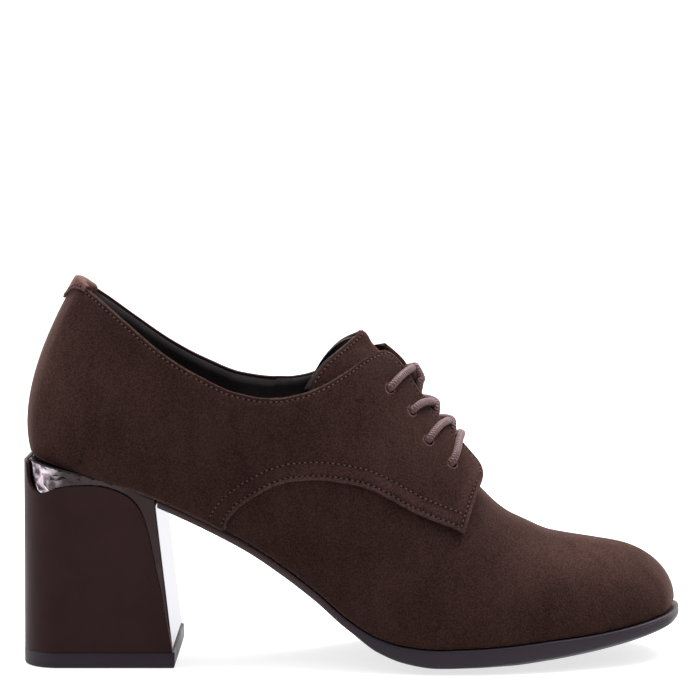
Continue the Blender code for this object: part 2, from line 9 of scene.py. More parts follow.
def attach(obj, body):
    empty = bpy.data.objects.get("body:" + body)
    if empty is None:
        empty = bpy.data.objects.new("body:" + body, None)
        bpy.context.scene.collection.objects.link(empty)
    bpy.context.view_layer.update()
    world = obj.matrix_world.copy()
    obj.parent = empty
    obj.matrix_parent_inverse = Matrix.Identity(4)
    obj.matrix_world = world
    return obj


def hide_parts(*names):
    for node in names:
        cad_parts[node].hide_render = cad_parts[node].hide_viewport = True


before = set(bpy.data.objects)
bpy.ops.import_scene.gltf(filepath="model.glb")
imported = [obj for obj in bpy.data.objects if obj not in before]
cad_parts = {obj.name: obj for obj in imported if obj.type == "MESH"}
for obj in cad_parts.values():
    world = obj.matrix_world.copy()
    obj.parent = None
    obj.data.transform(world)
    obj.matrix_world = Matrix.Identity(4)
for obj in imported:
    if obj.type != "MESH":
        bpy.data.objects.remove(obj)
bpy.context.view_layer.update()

# Everything is worked out in millimetres on the shoe's own last, then moved to the frame in metres
shoe = {
    "middle": Vector((-118.25, -0.5, 0.0)),
    "columns": "x mid lat med rim topX topY topZ rise out1 up1 out2 down2 back2 gap",
    "rows": [
        (4.8, 0.0, 0.0, 0.0, 72.6, 20.8, 0.0, 134.5, 0.0, 6.1, 18.6, 10.7, 18.2, 0.0, 0.0),
        (7.0, 0.0, 11.0, 11.0, 72.1, 22.6, 8.0, 133.4, -0.3, 5.8, 18.5, 9.5, 18.0, 0.0, 0.0),
        (14.0, 0.0, 19.3, 19.3, 70.4, 28.5, 14.8, 129.6, -1.1, 5.4, 18.0, 7.0, 18.0, 0.0, 0.0),
        (26.0, 0.0, 24.8, 24.8, 67.4, 39.0, 21.6, 121.3, -1.3, 5.8, 17.0, 4.5, 17.0, 0.0, 0.0),
        (39.0, 0.0, 26.3, 26.1, 63.7, 52.0, 26.6, 111.0, -0.6, 6.2, 15.0, 3.0, 15.0, 0.0, 0.0),
        (49.5, 0.0, 25.8, 25.2, 59.6, 64.0, 28.6, 103.6, 0.2, 6.8, 14.0, 2.5, 15.0, 0.0, 0.0),
        (63.0, 0.0, 24.0, 22.4, 53.1, 77.0, 29.0, 97.6, 1.1, 8.0, 14.0, 2.5, 15.0, 0.0, 0.0),
        (78.0, 0.0, 23.2, 20.4, 45.2, 89.0, 28.4, 95.4, 1.8, 9.0, 14.0, 3.0, 15.0, 0.0, 0.0),
        (85.0, 0.0, 23.7, 20.3, 41.1, 101.0, 20.0, 107.5, 1.0, 9.3, 16.0, 13.5, 11.0, 6.0, 18.0),
        (92.0, 0.0, 24.6, 20.8, 36.6, 121.6, 0.0, 118.6, 0.0, 9.5, 20.0, 34.0, 0.5, 17.5, 14.0),
        (104.0, 0.0, 27.4, 22.8, 28.0, 128.6, 0.0, 112.0, 0.0, 9.0, 22.0, 32.0, -2.5, 15.5, 9.0),
        (115.5, 0.0, 30.8, 26.4, 18.6, 136.2, 0.0, 103.9, 0.0, 8.0, 22.0, 28.5, -1.5, 10.5, 7.0),
        (126.0, 0.0, 33.8, 30.2, 12.5, 142.6, 0.0, 92.8, 0.0, 7.0, 20.0, 26.0, -2.0, 6.0, 6.5),
        (136.0, 0.0, 36.0, 33.8, 9.8, 150.0, 0.0, 80.4, 0.0, 6.0, 19.0, 24.0, -1.5, 3.5, 5.5),
        (147.0, 0.0, 37.2, 36.5, 8.9, 162.5, 0.0, 61.6, 0.0, 5.2, 18.0, 22.5, 0.0, 1.0, 0.0),
        (160.0, 0.3, 37.5, 38.0, 9.3, 173.0, 0.0, 52.4, 0.0, 4.5, 16.0, 22.0, 0.0, 0.0, 0.0),
        (173.0, 0.6, 36.4, 37.9, 10.1, 180.5, 0.0, 48.0, 0.0, 4.0, 14.0, 21.5, 0.0, 0.0, 0.0),
        (186.0, 1.0, 34.0, 36.2, 11.3, 188.0, 0.0, 44.8, 0.0, 3.5, 13.0, 20.0, 0.0, 0.0, 0.0),
        (199.0, 1.5, 30.2, 32.5, 12.2, 196.0, 0.0, 43.2, 0.0, 3.0, 12.5, 18.0, 0.0, 0.0, 0.0),
        (211.5, 2.0, 25.8, 27.6, 13.7, 201.0, 0.0, 42.4, 0.0, 2.6, 12.5, 16.0, 0.2, 0.0, 0.0),
        (222.3, 2.5, 20.2, 21.4, 15.5, 205.0, 0.0, 41.7, 0.0, 2.0, 12.5, 14.5, 0.5, 0.0, 0.0),
        (230.1, 3.0, 12.8, 13.4, 17.2, 207.5, 0.0, 41.3, 0.0, 1.5, 12.5, 13.0, 0.8, 0.0, 0.0),
        (233.6, 3.2, 0.0, 0.0, 18.4, 209.0, 0.0, 41.0, 0.0, 1.1, 12.3, 13.0, 0.8, 0.0, 0.0),
    ],
    "collar": [(84.0, 95.4), (92.5, 95.5), (99.0, 96.4), (107.0, 99.2), (114.3, 103.2),
               (121.6, 107.6), (127.4, 109.3), (130.5, 107.8), (133.5, 106.3), (136.2, 103.9), (139.0, 100.0)],
    "collarRows": (7.0, 14.5),
    "lap": [(70.4, 46.0), (74.5, 53.1), (77.7, 57.2), (84.4, 62.0), (91.0, 65.3), (98.0, 66.9),
            (104.6, 67.2), (117.7, 65.3), (124.3, 63.1), (137.5, 55.8), (151.0, 49.3), (160.0, 45.6)],
    "facingGap": 3.0,
    "facingLift": 4.4,
    "liftRows": (12.2, 13.9),
    "liftRise": (0.45, 0.9),
    "mixRows": (5.6, 6.8, 9.2, 10.2), "mixTop": (7.0, 7.8),
    "mixSteps": (-0.9, -0.6, -0.3, 0.0, 0.3, 0.6, 0.9), "mixReach": 0.7,
    "holes": [(11.25, 12.75), (12.05, 11.5), (12.77, 14.1), (13.34, 13.8)],   # row, distance from the ridge
    "wall": 1.6,
}
millimetre = 0.001

sections = [dict(zip(shoe["columns"].split(), row)) for row in shoe["rows"]]
lastRow = len(sections) - 1
ringLength = 2 * lastRow   # up the lateral side to the toe and back down the medial side
ring = [(section, -1) for section in sections] + [(section, 1) for section in sections[-2:0:-1]]
ringColumns = {name: [section[name] for section, side in ring] for name in shoe["columns"].split()}
ringColumns["y"] = [s["mid"] + (s["med"] if side > 0 else -s["lat"]) for s, side in ring]
ringColumns["topY"] = [s["mid"] + side * s["topY"] for s, side in ring]
ringColumns["topZ"] = [s["topZ"] + (s["rise"] if side > 0 else 0.0) for s, side in ring]


def slopeAt(before, here, after):
    back, ahead = here - before, after - here
    return 2.0 * back * ahead / (back + ahead) if back * ahead > 0.0 else 0.0


def hermite(v0, v1, v2, v3, t):
    m1, m2 = slopeAt(v0, v1, v2), slopeAt(v1, v2, v3)
    t2, t3 = t * t, t * t * t
    return (2 * t3 - 3 * t2 + 1) * v1 + (t3 - 2 * t2 + t) * m1 + (3 * t2 - 2 * t3) * v2 + (t3 - t2) * m2


def ringValue(name, u):
    values = ringColumns[name]
    i = math.floor(u)
    return hermite(*(values[(i + k) % len(values)] for k in (-1, 0, 1, 2)), u - i)


def lineValue(pairs, at):   # value on a line of (place, value) pairs, level past its ends
    if at <= pairs[0][0]:
        return pairs[0][1]
    for i in range(len(pairs) - 1):
        (x1, y1), (x2, y2) = pairs[i], pairs[i + 1]
        if at > x2:
            continue
        span = x2 - x1
        x0, y0 = pairs[i - 1] if i else (x1 - span, y1)
        x3, y3 = pairs[i + 2] if i + 2 < len(pairs) else (x2 + span, y2)
        before = y1 - (y1 - y0) * span / (x1 - x0)
        after = y2 + (y3 - y2) * span / (x3 - x2)
        return hermite(before, y1, y2, after, (at - x1) / span)
    return pairs[-1][1]


def ramp(value, start, end):
    t = min(max((value - start) / (end - start), 0.0), 1.0)
    return t * t * (3.0 - 2.0 * t)


def hump(distance, width):   # 1 on the line, 0 a few widths away
    return math.exp(-(distance / width) ** 2)


def fadeOut(distance, amount, reach):   # the whole amount at an edge, nothing past its reach
    return amount * (1.0 - ramp(distance, 0.0, reach))


def footPoint(u):
    return Vector((ringValue("x", u), ringValue("y", u), ringValue("rim", u)))


def outwardAt(u):
    run = footPoint(u + 0.05) - footPoint(u - 0.05)
    return Vector((run.y, -run.x, 0.0)).normalized()


handleCache = {}


def rowHandles(u):   # the four handles of the curve from the foot line to the collar or the ridge
    out, foot = outwardAt(u), footPoint(u)
    top = Vector((ringValue("topX", u), ringValue("topY", u), ringValue("topZ", u)))
    low = foot + out * ringValue("out1", u) + Vector((0, 0, ringValue("up1", u)))
    high = top + out * ringValue("out2", u) - Vector((ringValue("back2", u), 0, ringValue("down2", u)))
    return [foot, low, high, top]


def handles(u):   # rows crowd at the ankle, so the handles of their neighbours are mixed in there
    key = round(u % ringLength, 5)
    if key not in handleCache:
        own, row = rowHandles(u), rowOf(u)
        mix = ramp(row, *shoe["mixRows"][:2]) * (1.0 - ramp(row, *shoe["mixRows"][2:]))
        if mix > 0.0:
            near = [(rowHandles(u + away), hump(away, shoe["mixReach"])) for away in shoe["mixSteps"]]
            total = sum(weight for _, weight in near)
            for n, amount in ((1, mix), (2, mix), (3, mix * ramp(row, *shoe["mixTop"]))):
                mean = sum((hands[n] * weight for hands, weight in near), Vector()) / total
                own[n] = own[n].lerp(mean, amount)
        handleCache[key] = own
    return handleCache[key]


def alongRow(hands, s):
    foot, low, high, top = hands
    r = 1.0 - s
    return foot * (r * r * r) + low * (3 * r * r * s) + high * (3 * r * s * s) + top * (s * s * s)


def lastPoint(u, s):
    return alongRow(handles(u), s)


def lastNormal(u, s):
    step = 0.02
    wide = step + 0.45 * hump(rowOf(u) - 8.1, 1.0)   # looks further round where the rows crowd at the ankle
    run = lastPoint(u + wide, s) - lastPoint(u - wide, s)
    rise = lastPoint(u, min(s + step, 1.0)) - lastPoint(u, max(s - step, 0.0))
    return run.cross(rise).normalized()


def ridgeNormal(u, s):   # both sides share one normal along the ridge
    share = ramp(s, 0.9, 1.0) * 0.5
    if share == 0.0 or rowOf(u) < 9.0:
        return lastNormal(u, s)
    return lastNormal(u, s).lerp(lastNormal(ringLength - u, s), share).normalized()


def onLast(u, s, height):
    return lastPoint(u, s) + lastNormal(u, s) * height


def rowOf(u):
    turned = u % ringLength
    return turned if turned <= lastRow else ringLength - turned


def fromRidge(u, s):
    return abs(lastPoint(u, s).y - ringValue("mid", u))


def firstS(test, start=0.0, steps=60):   # lowest s at which the test holds, or 1
    low = start
    for i in range(1, steps + 1):
        high = start + (1.0 - start) * i / steps
        if test(high):
            for _ in range(16):
                middle = 0.5 * (low + high)
                low, high = (low, middle) if test(middle) else (middle, high)
            return high
        low = high
    return 1.0


def collarHeight(u, x):
    rise = sections[7]["rise"] * (1.0 - 0.3 * ramp(x, 115.0, 126.0))   # less of it towards the facing
    return lineValue(shoe["collar"], x) + (rise if u % ringLength > lastRow else 0.0)


def topS(u, leastGap=0.0, below=0.0, gap=None):   # where the wall stops: collar, facing edge or ridge
    row = rowOf(u)
    if row <= shoe["collarRows"][0] or row >= shoe["collarRows"][1]:
        return 1.0
    gap = gap or max(ringValue("gap", u), leastGap)

    def outside(s):
        point = lastPoint(u, s)
        return point.z > collarHeight(u, point.x) - below or fromRidge(u, s) < gap
    return firstS(outside, 0.4)


def lapS(u):   # where the quarter starts: at the foot, or at its curved lower edge
    def above(s):
        point = lastPoint(u, s)
        return point.x < shoe["lap"][0][0] or point.z > lineValue(shoe["lap"], point.x)
    return 0.0 if above(0.0) else firstS(above)


def facingLift(u, s):
    return shoe["facingLift"] * ramp(rowOf(u), *shoe["liftRows"]) * ramp(s, *shoe["liftRise"])


def perMillimetre(u, s):   # how far s goes in one millimetre
    step = 0.01
    return 2 * step / max((lastPoint(u, min(s + step, 1.0)) - lastPoint(u, max(s - step, 0.0))).length, 0.05)


print("last ready")


# Camera at the photo's angle: a long lens from the outer side, looking slightly down
cameraSettings = {"target": (-0.00155, -0.0005, 0.1097), "distance": 0.886, "elevation": 5.2, "lens": 127.7}


def setCamera(settings):
    camera = bpy.data.objects.new("camera", bpy.data.cameras.new("camera"))
    bpy.context.scene.collection.objects.link(camera)
    tilt = math.radians(settings["elevation"])
    target = Vector(settings["target"])
    camera.location = target + Vector((0, -math.cos(tilt), math.sin(tilt))) * settings["distance"]
    camera.rotation_euler = (math.radians(90) - tilt, 0, 0)
    camera.data.lens = settings["lens"]
    camera.data.sensor_width = 36
    camera.data.clip_start = 0.01
    bpy.context.scene.camera = camera


setCamera(cameraSettings)

# Pale floor under a bright dome that darkens behind the camera
studio = {
    "floorColor": (0.36, 0.36, 0.36), "floorGlow": 0.72, "floorHalf": 30.0,
    "worldHigh": 2.3, "worldLow": 0.08, "worldLean": 0.9, "worldFade": 0.7,
    "ceiling": {"at": (0.25, 0.35, 1.35), "aim": (0.0, 0.0, 0.05), "size": (1.3, 1.1), "watts": 56.0},
    "side": {"at": (-1.1, -0.2, 0.55), "aim": (-0.05, 0.0, 0.07), "size": (0.5, 0.9), "watts": 2.2},
}


def makeFloor(settings):
    bm = bmesh.new()
    bmesh.ops.create_grid(bm, x_segments=1, y_segments=1, size=settings["floorHalf"])
    mesh = bpy.data.meshes.new("floor")
    bm.to_mesh(mesh)
    bm.free()
    floor = bpy.data.objects.new("floor", mesh)
    bpy.context.scene.collection.objects.link(floor)
    paper = bpy.data.materials.new("floorPaper")
    paper.use_nodes = True
    shader = paper.node_tree.nodes["Principled BSDF"]
    shader.inputs["Base Color"].default_value = (*settings["floorColor"], 1)
    shader.inputs["Roughness"].default_value = 0.9
    shader.inputs["Specular IOR Level"].default_value = 0.1
    shader.inputs["Emission Color"].default_value = (1, 1, 1, 1)   # a white table lit from below
    shader.inputs["Emission Strength"].default_value = settings["floorGlow"]
    mesh.materials.append(paper)


def addLight(name, settings):
    light = bpy.data.objects.new(name, bpy.data.lights.new(name, "AREA"))
    bpy.context.scene.collection.objects.link(light)
    light.data.shape = "RECTANGLE"
    light.data.size, light.data.size_y = settings["size"]
    light.data.energy = settings["watts"]
    light.location = settings["at"]
    way = Vector(settings["aim"]) - Vector(settings["at"])
    light.rotation_euler = way.to_track_quat("-Z", "Y").to_euler()


def setWorld(settings):
    world = bpy.data.worlds.new("studio")
    bpy.context.scene.world = world
    world.use_nodes = True
    tree = world.node_tree
    tree.nodes.clear()
    place = tree.nodes.new("ShaderNodeTexCoord")
    split = tree.nodes.new("ShaderNodeSeparateXYZ")
    lean = tree.nodes.new("ShaderNodeMath")   # towards the back and upwards
    lean.operation = "MULTIPLY_ADD"
    lean.inputs[1].default_value = settings["worldLean"]
    fade = tree.nodes.new("ShaderNodeMapRange")
    fade.interpolation_type = "SMOOTHSTEP"
    fade.inputs["From Min"].default_value = -settings["worldFade"]
    fade.inputs["From Max"].default_value = settings["worldFade"]
    fade.inputs["To Min"].default_value = settings["worldLow"]
    fade.inputs["To Max"].default_value = settings["worldHigh"]
    background = tree.nodes.new("ShaderNodeBackground")
    out = tree.nodes.new("ShaderNodeOutputWorld")
    tree.links.new(place.outputs["Generated"], split.inputs["Vector"])
    tree.links.new(split.outputs["Z"], lean.inputs[0])
    tree.links.new(split.outputs["Y"], lean.inputs[2])
    tree.links.new(lean.outputs["Value"], fade.inputs["Value"])
    tree.links.new(fade.outputs["Result"], background.inputs["Strength"])
    tree.links.new(background.outputs["Background"], out.inputs["Surface"])


makeFloor(studio)
for light in ("ceiling", "side"):
    addLight(light, studio[light])
setWorld(studio)
bpy.context.scene.view_settings.view_transform = "Standard"
print("studio ready")


def addNode(tree, kind, values=None, links=None):
    node = tree.nodes.new(kind)
    for name, value in (values or {}).items():
        node.inputs[name].default_value = value
    for name, socket in (links or {}).items():
        tree.links.new(socket, node.inputs[name])
    return node


def newMaterial(name, roughness, **sockets):
    material = bpy.data.materials.new(name)
    material.use_nodes = True
    tree = material.node_tree
    shader = tree.nodes["Principled BSDF"]
    shader.inputs["Roughness"].default_value = roughness
    for socket, value in sockets.items():
        shader.inputs[socket].default_value = value
    return material, tree, shader


def noiseNode(tree, coords, scale, detail=2.0, distortion=0.0):
    values = {"Scale": scale, "Detail": detail, "Distortion": distortion}
    return addNode(tree, "ShaderNodeTexNoise", values, {"Vector": coords}).outputs["Fac"]


def spread(tree, value, low, high, toLow=0.0, toHigh=1.0):   # stretches a narrow band of a pattern
    values = {"From Min": low, "From Max": high, "To Min": toLow, "To Max": toHigh}
    return addNode(tree, "ShaderNodeMapRange", values, {"Value": value}).outputs["Result"]


def mixColors(tree, factor, first, second):
    node = tree.nodes.new("ShaderNodeMixRGB")
    for name, value in (("Fac", factor), ("Color1", first), ("Color2", second)):
        if isinstance(value, bpy.types.NodeSocket):
            tree.links.new(value, node.inputs[name])
        else:
            node.inputs[name].default_value = (*value, 1.0) if isinstance(value, tuple) else value
    return node.outputs["Color"]


def bumpNode(tree, height, strength, distance, under=None):
    links = {"Height": height}
    if under:
        links["Normal"] = under
    node = addNode(tree, "ShaderNodeBump", {"Strength": strength, "Distance": distance}, links)
    return node.outputs["Normal"]


# Suede: brushed patches, streaks of nap lying one way, fine fibre grain, and painted highlights where the light falls
suedes = {
    "suede": {"dark": (0.0080, 0.0036, 0.0033), "light": (0.0335, 0.0165, 0.0138), "grain": 2100.0, "sheen": 0.19},
    "suedeTongue": {"dark": (0.0118, 0.0048, 0.0038), "light": (0.0360, 0.0178, 0.0146), "grain": 1700.0, "sheen": 0.2},
    "suedeTrim": {"dark": (0.0330, 0.0150, 0.0132), "light": (0.1050, 0.0560, 0.0500), "grain": 1700.0, "sheen": 0.2},
    "suedeEdge": {"dark": (0.0260, 0.0145, 0.0125), "light": (0.0820, 0.0500, 0.0425), "grain": 1500.0, "sheen": 0.1},
    # The bead finish: raw lap edge, lighter partly as a painted highlight
    "suedeBead": {"dark": (0.0170, 0.0086, 0.0075), "light": (0.0560, 0.0315, 0.0270), "grain": 1700.0, "sheen": 0.12},
    # The needle hole finish is near black: painted shade in the holes
    "needleHoleShade": {"dark": (0.0040, 0.0020, 0.0018), "light": (0.0100, 0.0050, 0.0045), "grain": 1500.0, "sheen": 0.0},
}


def suedeMaterial(name):
    look = suedes[name]
    material, tree, shader = newMaterial(name, 0.94, **{
        "Specular IOR Level": 0.03, "Sheen Weight": look["sheen"], "Sheen Roughness": 0.32,
        "Sheen Tint": (0.88, 0.56, 0.48, 1.0)})
    coords = addNode(tree, "ShaderNodeTexCoord").outputs["Object"]
    lean = addNode(tree, "ShaderNodeMapping", {"Rotation": (0.5, 0.35, 0.2), "Scale": (1.0, 1.0, 0.32)},
                   {"Vector": coords}).outputs["Vector"]
    patch = spread(tree, noiseNode(tree, coords, 30.0, 4.0, 0.8), 0.32, 0.68)
    streak = spread(tree, noiseNode(tree, lean, 190.0, 3.0, 0.3), 0.30, 0.70)
    grain = noiseNode(tree, coords, look["grain"], 3.0)
    speck = spread(tree, noiseNode(tree, coords, look["grain"] * 0.8, 2.0), 0.36, 0.64)
    soft = mixColors(tree, 0.42, patch, streak)
    fibre = mixColors(tree, 0.55, soft, speck)
    color = mixColors(tree, fibre, look["dark"], look["light"])
    brushedAndLit = tree.nodes.new("ShaderNodeAttribute")   # brushed nap and painted highlight on the big panels, nothing elsewhere
    brushedAndLit.attribute_name = "brushedAndLit"
    tone = tree.nodes.new("ShaderNodeMixRGB")
    tone.blend_type = "ADD"
    tree.links.new(brushedAndLit.outputs["Fac"], tone.inputs["Fac"])
    tree.links.new(color, tone.inputs["Color1"])
    tree.links.new(color, tone.inputs["Color2"])
    tree.links.new(tone.outputs["Color"], shader.inputs["Base Color"])
    nap = bumpNode(tree, streak, 0.10, 0.0006)
    tree.links.new(bumpNode(tree, grain, 0.55, 0.00028, nap), shader.inputs["Normal"])
    return material


# Smooth black lining leather with a fine pore grain
linings = {
    "lining": {"dark": (0.0110, 0.0088, 0.0096), "light": (0.0270, 0.0215, 0.0235), "pores": 1300.0},
    # The edge finish is the lining's raw edge, lighter grey partly as a painted highlight
    "liningEdgeLit": {"dark": (0.0300, 0.0260, 0.0265), "light": (0.0900, 0.0800, 0.0810), "pores": 900.0},
}


def liningMaterial(name):
    look = linings[name]
    material, tree, shader = newMaterial(name, 0.7, **{"Specular IOR Level": 0.08})
    coords = addNode(tree, "ShaderNodeTexCoord").outputs["Object"]
    wear = spread(tree, noiseNode(tree, coords, 60.0, 4.0, 0.5), 0.35, 0.65)
    tree.links.new(mixColors(tree, wear, look["dark"], look["light"]), shader.inputs["Base Color"])
    tree.links.new(spread(tree, wear, 0.0, 1.0, 0.62, 0.78), shader.inputs["Roughness"])
    cells = addNode(tree, "ShaderNodeTexVoronoi", {"Scale": look["pores"]}, {"Vector": coords})
    tree.links.new(bumpNode(tree, cells.outputs["Distance"], 0.30, 0.00018), shader.inputs["Normal"])
    return material


# Dull black rubber of the sole and the top piece
rubber = {"dark": (0.0106, 0.0070, 0.0114), "light": (0.0168, 0.0118, 0.0180), "grain": 900.0,
          "waist": (0.0300, 0.0165, 0.0165), "waistRise": (0.012, 0.024)}


def rubberMaterial(look):
    material, tree, shader = newMaterial("soleRubber", 0.52, **{
        "Specular IOR Level": 0.25, "Specular Tint": (1.0, 0.90, 1.0, 1.0)})
    coords = addNode(tree, "ShaderNodeTexCoord").outputs["Object"]
    dust = spread(tree, noiseNode(tree, coords, 45.0, 5.0, 0.4), 0.35, 0.70)
    height = addNode(tree, "ShaderNodeSeparateXYZ", None, {"Vector": coords}).outputs["Z"]
    color = mixColors(tree, dust, look["dark"], look["light"])
    color = mixColors(tree, spread(tree, height, *look["waistRise"]), color, look["waist"])   # browner up the waist
    tree.links.new(color, shader.inputs["Base Color"])
    tree.links.new(spread(tree, dust, 0.0, 1.0, 0.44, 0.62), shader.inputs["Roughness"])
    grain = noiseNode(tree, coords, look["grain"], 3.0)
    tree.links.new(bumpNode(tree, grain, 0.18, 0.00015), shader.inputs["Normal"])
    return material


# Heel cover: dark brown satin with a faint grain
cover = {"dark": (0.0140, 0.0058, 0.0056), "light": (0.0190, 0.0084, 0.0082), "grain": 1500.0}


def coverMaterial(look):
    material, tree, shader = newMaterial("heelCover", 0.46, **{
        "Specular IOR Level": 0.10, "Specular Tint": (1.0, 0.70, 0.75, 1.0),
        "Sheen Weight": 0.07, "Sheen Roughness": 0.25, "Sheen Tint": (1.0, 0.50, 0.60, 1.0)})
    coords = addNode(tree, "ShaderNodeTexCoord").outputs["Object"]
    cloud = spread(tree, noiseNode(tree, coords, 55.0, 4.0, 0.6), 0.35, 0.65)
    tree.links.new(mixColors(tree, cloud, look["dark"], look["light"]), shader.inputs["Base Color"])
    tree.links.new(spread(tree, cloud, 0.0, 1.0, 0.42, 0.52), shader.inputs["Roughness"])
    grain = noiseNode(tree, coords, look["grain"], 2.0)
    tree.links.new(bumpNode(tree, grain, 0.14, 0.00012), shader.inputs["Normal"])
    return material


# Bright core: clean mirror at the breast, painted dark reflection on the side walls, crumpled film in the notch
mirrors = {
    "chrome": {
        "dark": (0.53, 0.52, 0.56), "light": (0.56, 0.55, 0.59), "edge": (0.44, 0.44, 0.46), "roughness": 0.05,
        "size": 40.0, "bump": 0.02, "fade": ("Y", -0.026, 0.026, (0.45, 0.44, 0.48))},
    "shadedChrome": {
        "dark": (0.022, 0.015, 0.015), "light": (0.046, 0.035, 0.035), "edge": (0.3, 0.25, 0.25), "roughness": 0.14,
        "size": 45.0, "bump": 0.02, "fade": ("X", -0.090, -0.060, (0.024, 0.017, 0.017))},
    "silverFilm": {
        "dark": (0.06, 0.045, 0.052), "light": (0.56, 0.48, 0.54), "edge": (0.8, 0.75, 0.8), "roughness": 0.16,
        "size": 210.0, "bump": 0.55, "fade": ("X", -0.1080, -0.1015, (0.034, 0.026, 0.027))},
}   # fade: along an axis, from, to, into this color; painted shade on the far side of the breast and towards the breast on the side walls, and the film goes darker forward


def mirrorMaterial(name):
    look = mirrors[name]
    material, tree, shader = newMaterial(name, look["roughness"], **{
        "Metallic": 1.0, "Specular Tint": (*look["edge"], 1.0)})
    coords = addNode(tree, "ShaderNodeTexCoord").outputs["Object"]
    folds = noiseNode(tree, coords, look["size"], 2.0, 1.2)
    cloud = spread(tree, folds, 0.38, 0.62)
    axis, start, end, faded = look["fade"]
    along = addNode(tree, "ShaderNodeSeparateXYZ", None, {"Vector": coords}).outputs[axis]
    color = mixColors(tree, cloud, look["dark"], look["light"])
    tree.links.new(mixColors(tree, spread(tree, along, start, end), color, faded), shader.inputs["Base Color"])
    tree.links.new(bumpNode(tree, folds, look["bump"], 0.0008), shader.inputs["Normal"])
    return material


# Stitching thread, waxed and a little lighter than the suede
thread = {"dark": (0.026, 0.013, 0.011), "light": (0.088, 0.050, 0.043)}


def threadMaterial(look):
    material, tree, shader = newMaterial("thread", 0.7, **{"Specular IOR Level": 0.1})
    coords = addNode(tree, "ShaderNodeTexCoord").outputs["Object"]
    twist = noiseNode(tree, coords, 2600.0, 2.0)
    color = mixColors(tree, spread(tree, twist, 0.3, 0.7), look["dark"], look["light"])
    tree.links.new(color, shader.inputs["Base Color"])
    tree.links.new(bumpNode(tree, twist, 0.4, 0.0002), shader.inputs["Normal"])
    return material


# Lace: fine plaited cord, waxed
cord = {"dark": (0.030, 0.0140, 0.0142), "light": (0.124, 0.062, 0.062), "turns": 3.0, "plaits": 330.0}


def cordMaterial(look):
    material, tree, shader = newMaterial("laceCord", 0.55, **{
        "Specular IOR Level": 0.2, "Sheen Weight": 0.14, "Sheen Roughness": 0.4, "Sheen Tint": (0.9, 0.68, 0.70, 1.0)})
    coords = addNode(tree, "ShaderNodeTexCoord")
    plaits = []
    for slant in (1.0, -1.0):
        turned = addNode(tree, "ShaderNodeMapping", {"Scale": (look["plaits"], look["turns"] * slant, 1.0)},
                         {"Vector": coords.outputs["UV"]}).outputs["Vector"]
        split = addNode(tree, "ShaderNodeSeparateXYZ", None, {"Vector": turned})
        total = tree.nodes.new("ShaderNodeMath")
        tree.links.new(split.outputs["X"], total.inputs[0])
        tree.links.new(split.outputs["Y"], total.inputs[1])
        wave = tree.nodes.new("ShaderNodeMath")
        wave.operation = "PINGPONG"
        wave.inputs[1].default_value = 0.5
        tree.links.new(total.outputs["Value"], wave.inputs[0])
        plaits.append(spread(tree, wave.outputs["Value"], 0.0, 0.5))
    weave = mixColors(tree, 0.5, plaits[0], plaits[1])
    fuzz = noiseNode(tree, coords.outputs["Object"], 2400.0, 2.0)
    tone = mixColors(tree, 0.5, spread(tree, weave, 0.15, 0.85), spread(tree, fuzz, 0.3, 0.7))
    tree.links.new(mixColors(tree, tone, look["dark"], look["light"]), shader.inputs["Base Color"])
    rough = bumpNode(tree, fuzz, 0.3, 0.0002)
    tree.links.new(bumpNode(tree, weave, 0.8, 0.0004, rough), shader.inputs["Normal"])
    return material


materials = {name: suedeMaterial(name) for name in suedes}
materials.update({name: mirrorMaterial(name) for name in mirrors})
materials.update({name: liningMaterial(name) for name in linings})
materials["rubber"] = rubberMaterial(rubber)
materials["heelCover"] = coverMaterial(cover)
materials["thread"] = threadMaterial(thread)
materials["cord"] = cordMaterial(cord)
print("materials ready")


def gridSheet(columns, rows, place, withUv=False):   # a grid whose point (i, k) goes to place(i, k)
    bm = bmesh.new()
    if withUv:
        bm.loops.layers.uv.new("along")
    bmesh.ops.create_grid(bm, x_segments=columns, y_segments=rows, size=0.5, calc_uvs=withUv)
    for v in bm.verts:
        i, k = round((v.co.x + 0.5) * columns), round((v.co.y + 0.5) * rows)
        v.co = place(i, k)
    return bm


def closeUp(bm):   # joins the seam of a rolled sheet and fills its open ends
    bmesh.ops.remove_doubles(bm, verts=bm.verts, dist=0.01)
    bmesh.ops.holes_fill(bm, edges=[e for e in bm.edges if e.is_boundary], sides=0)
    bmesh.ops.recalc_face_normals(bm, faces=bm.faces)


def faceUp(bm):   # turns an open sheet's faces upwards
    bmesh.ops.recalc_face_normals(bm, faces=bm.faces)
    if sum(f.normal.z for f in bm.faces) < 0:
        bmesh.ops.reverse_faces(bm, faces=bm.faces)


def makePiece(name, bm, finishes, stands=()):
    bmesh.ops.translate(bm, verts=bm.verts, vec=shoe["middle"])
    bmesh.ops.scale(bm, verts=bm.verts, vec=Vector((millimetre, millimetre, millimetre)))
    mesh = bpy.data.meshes.new(name)
    bm.to_mesh(mesh)
    bm.free()
    mesh.shade_smooth()
    piece = bpy.data.objects.new(name, mesh)
    bpy.context.scene.collection.objects.link(piece)
    for finish in finishes:
        mesh.materials.append(materials[finish])
    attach(piece, "root")
    if stands:
        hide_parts(*stands)
    print(name, len(mesh.polygons), "faces")
    return piece


def addWall(piece, thickness, inner=0, rim=0):   # thickness goes inwards from the modelled face
    wall = piece.modifiers.new("wall", "SOLIDIFY")
    wall.thickness = thickness * millimetre
    wall.offset = -1.0
    wall.use_even_offset = False
    wall.use_rim = True
    wall.material_offset = inner
    wall.material_offset_rim = rim


def roundEdges(piece, width, segments=2, angle=50.0):
    bevel = piece.modifiers.new("round", "BEVEL")
    bevel.width = width * millimetre
    bevel.segments = segments
    bevel.limit_method = "ANGLE"
    bevel.angle_limit = math.radians(angle)
    bevel.profile = 0.5
    bevel.use_clamp_overlap = True
    bevel.material = -1
    bevel.harden_normals = False
    return bevel


def spaced(start, end, step):
    count = max(1, round(abs(end - start) / step))
    return [start + (end - start) * i / count for i in range(count + 1)]


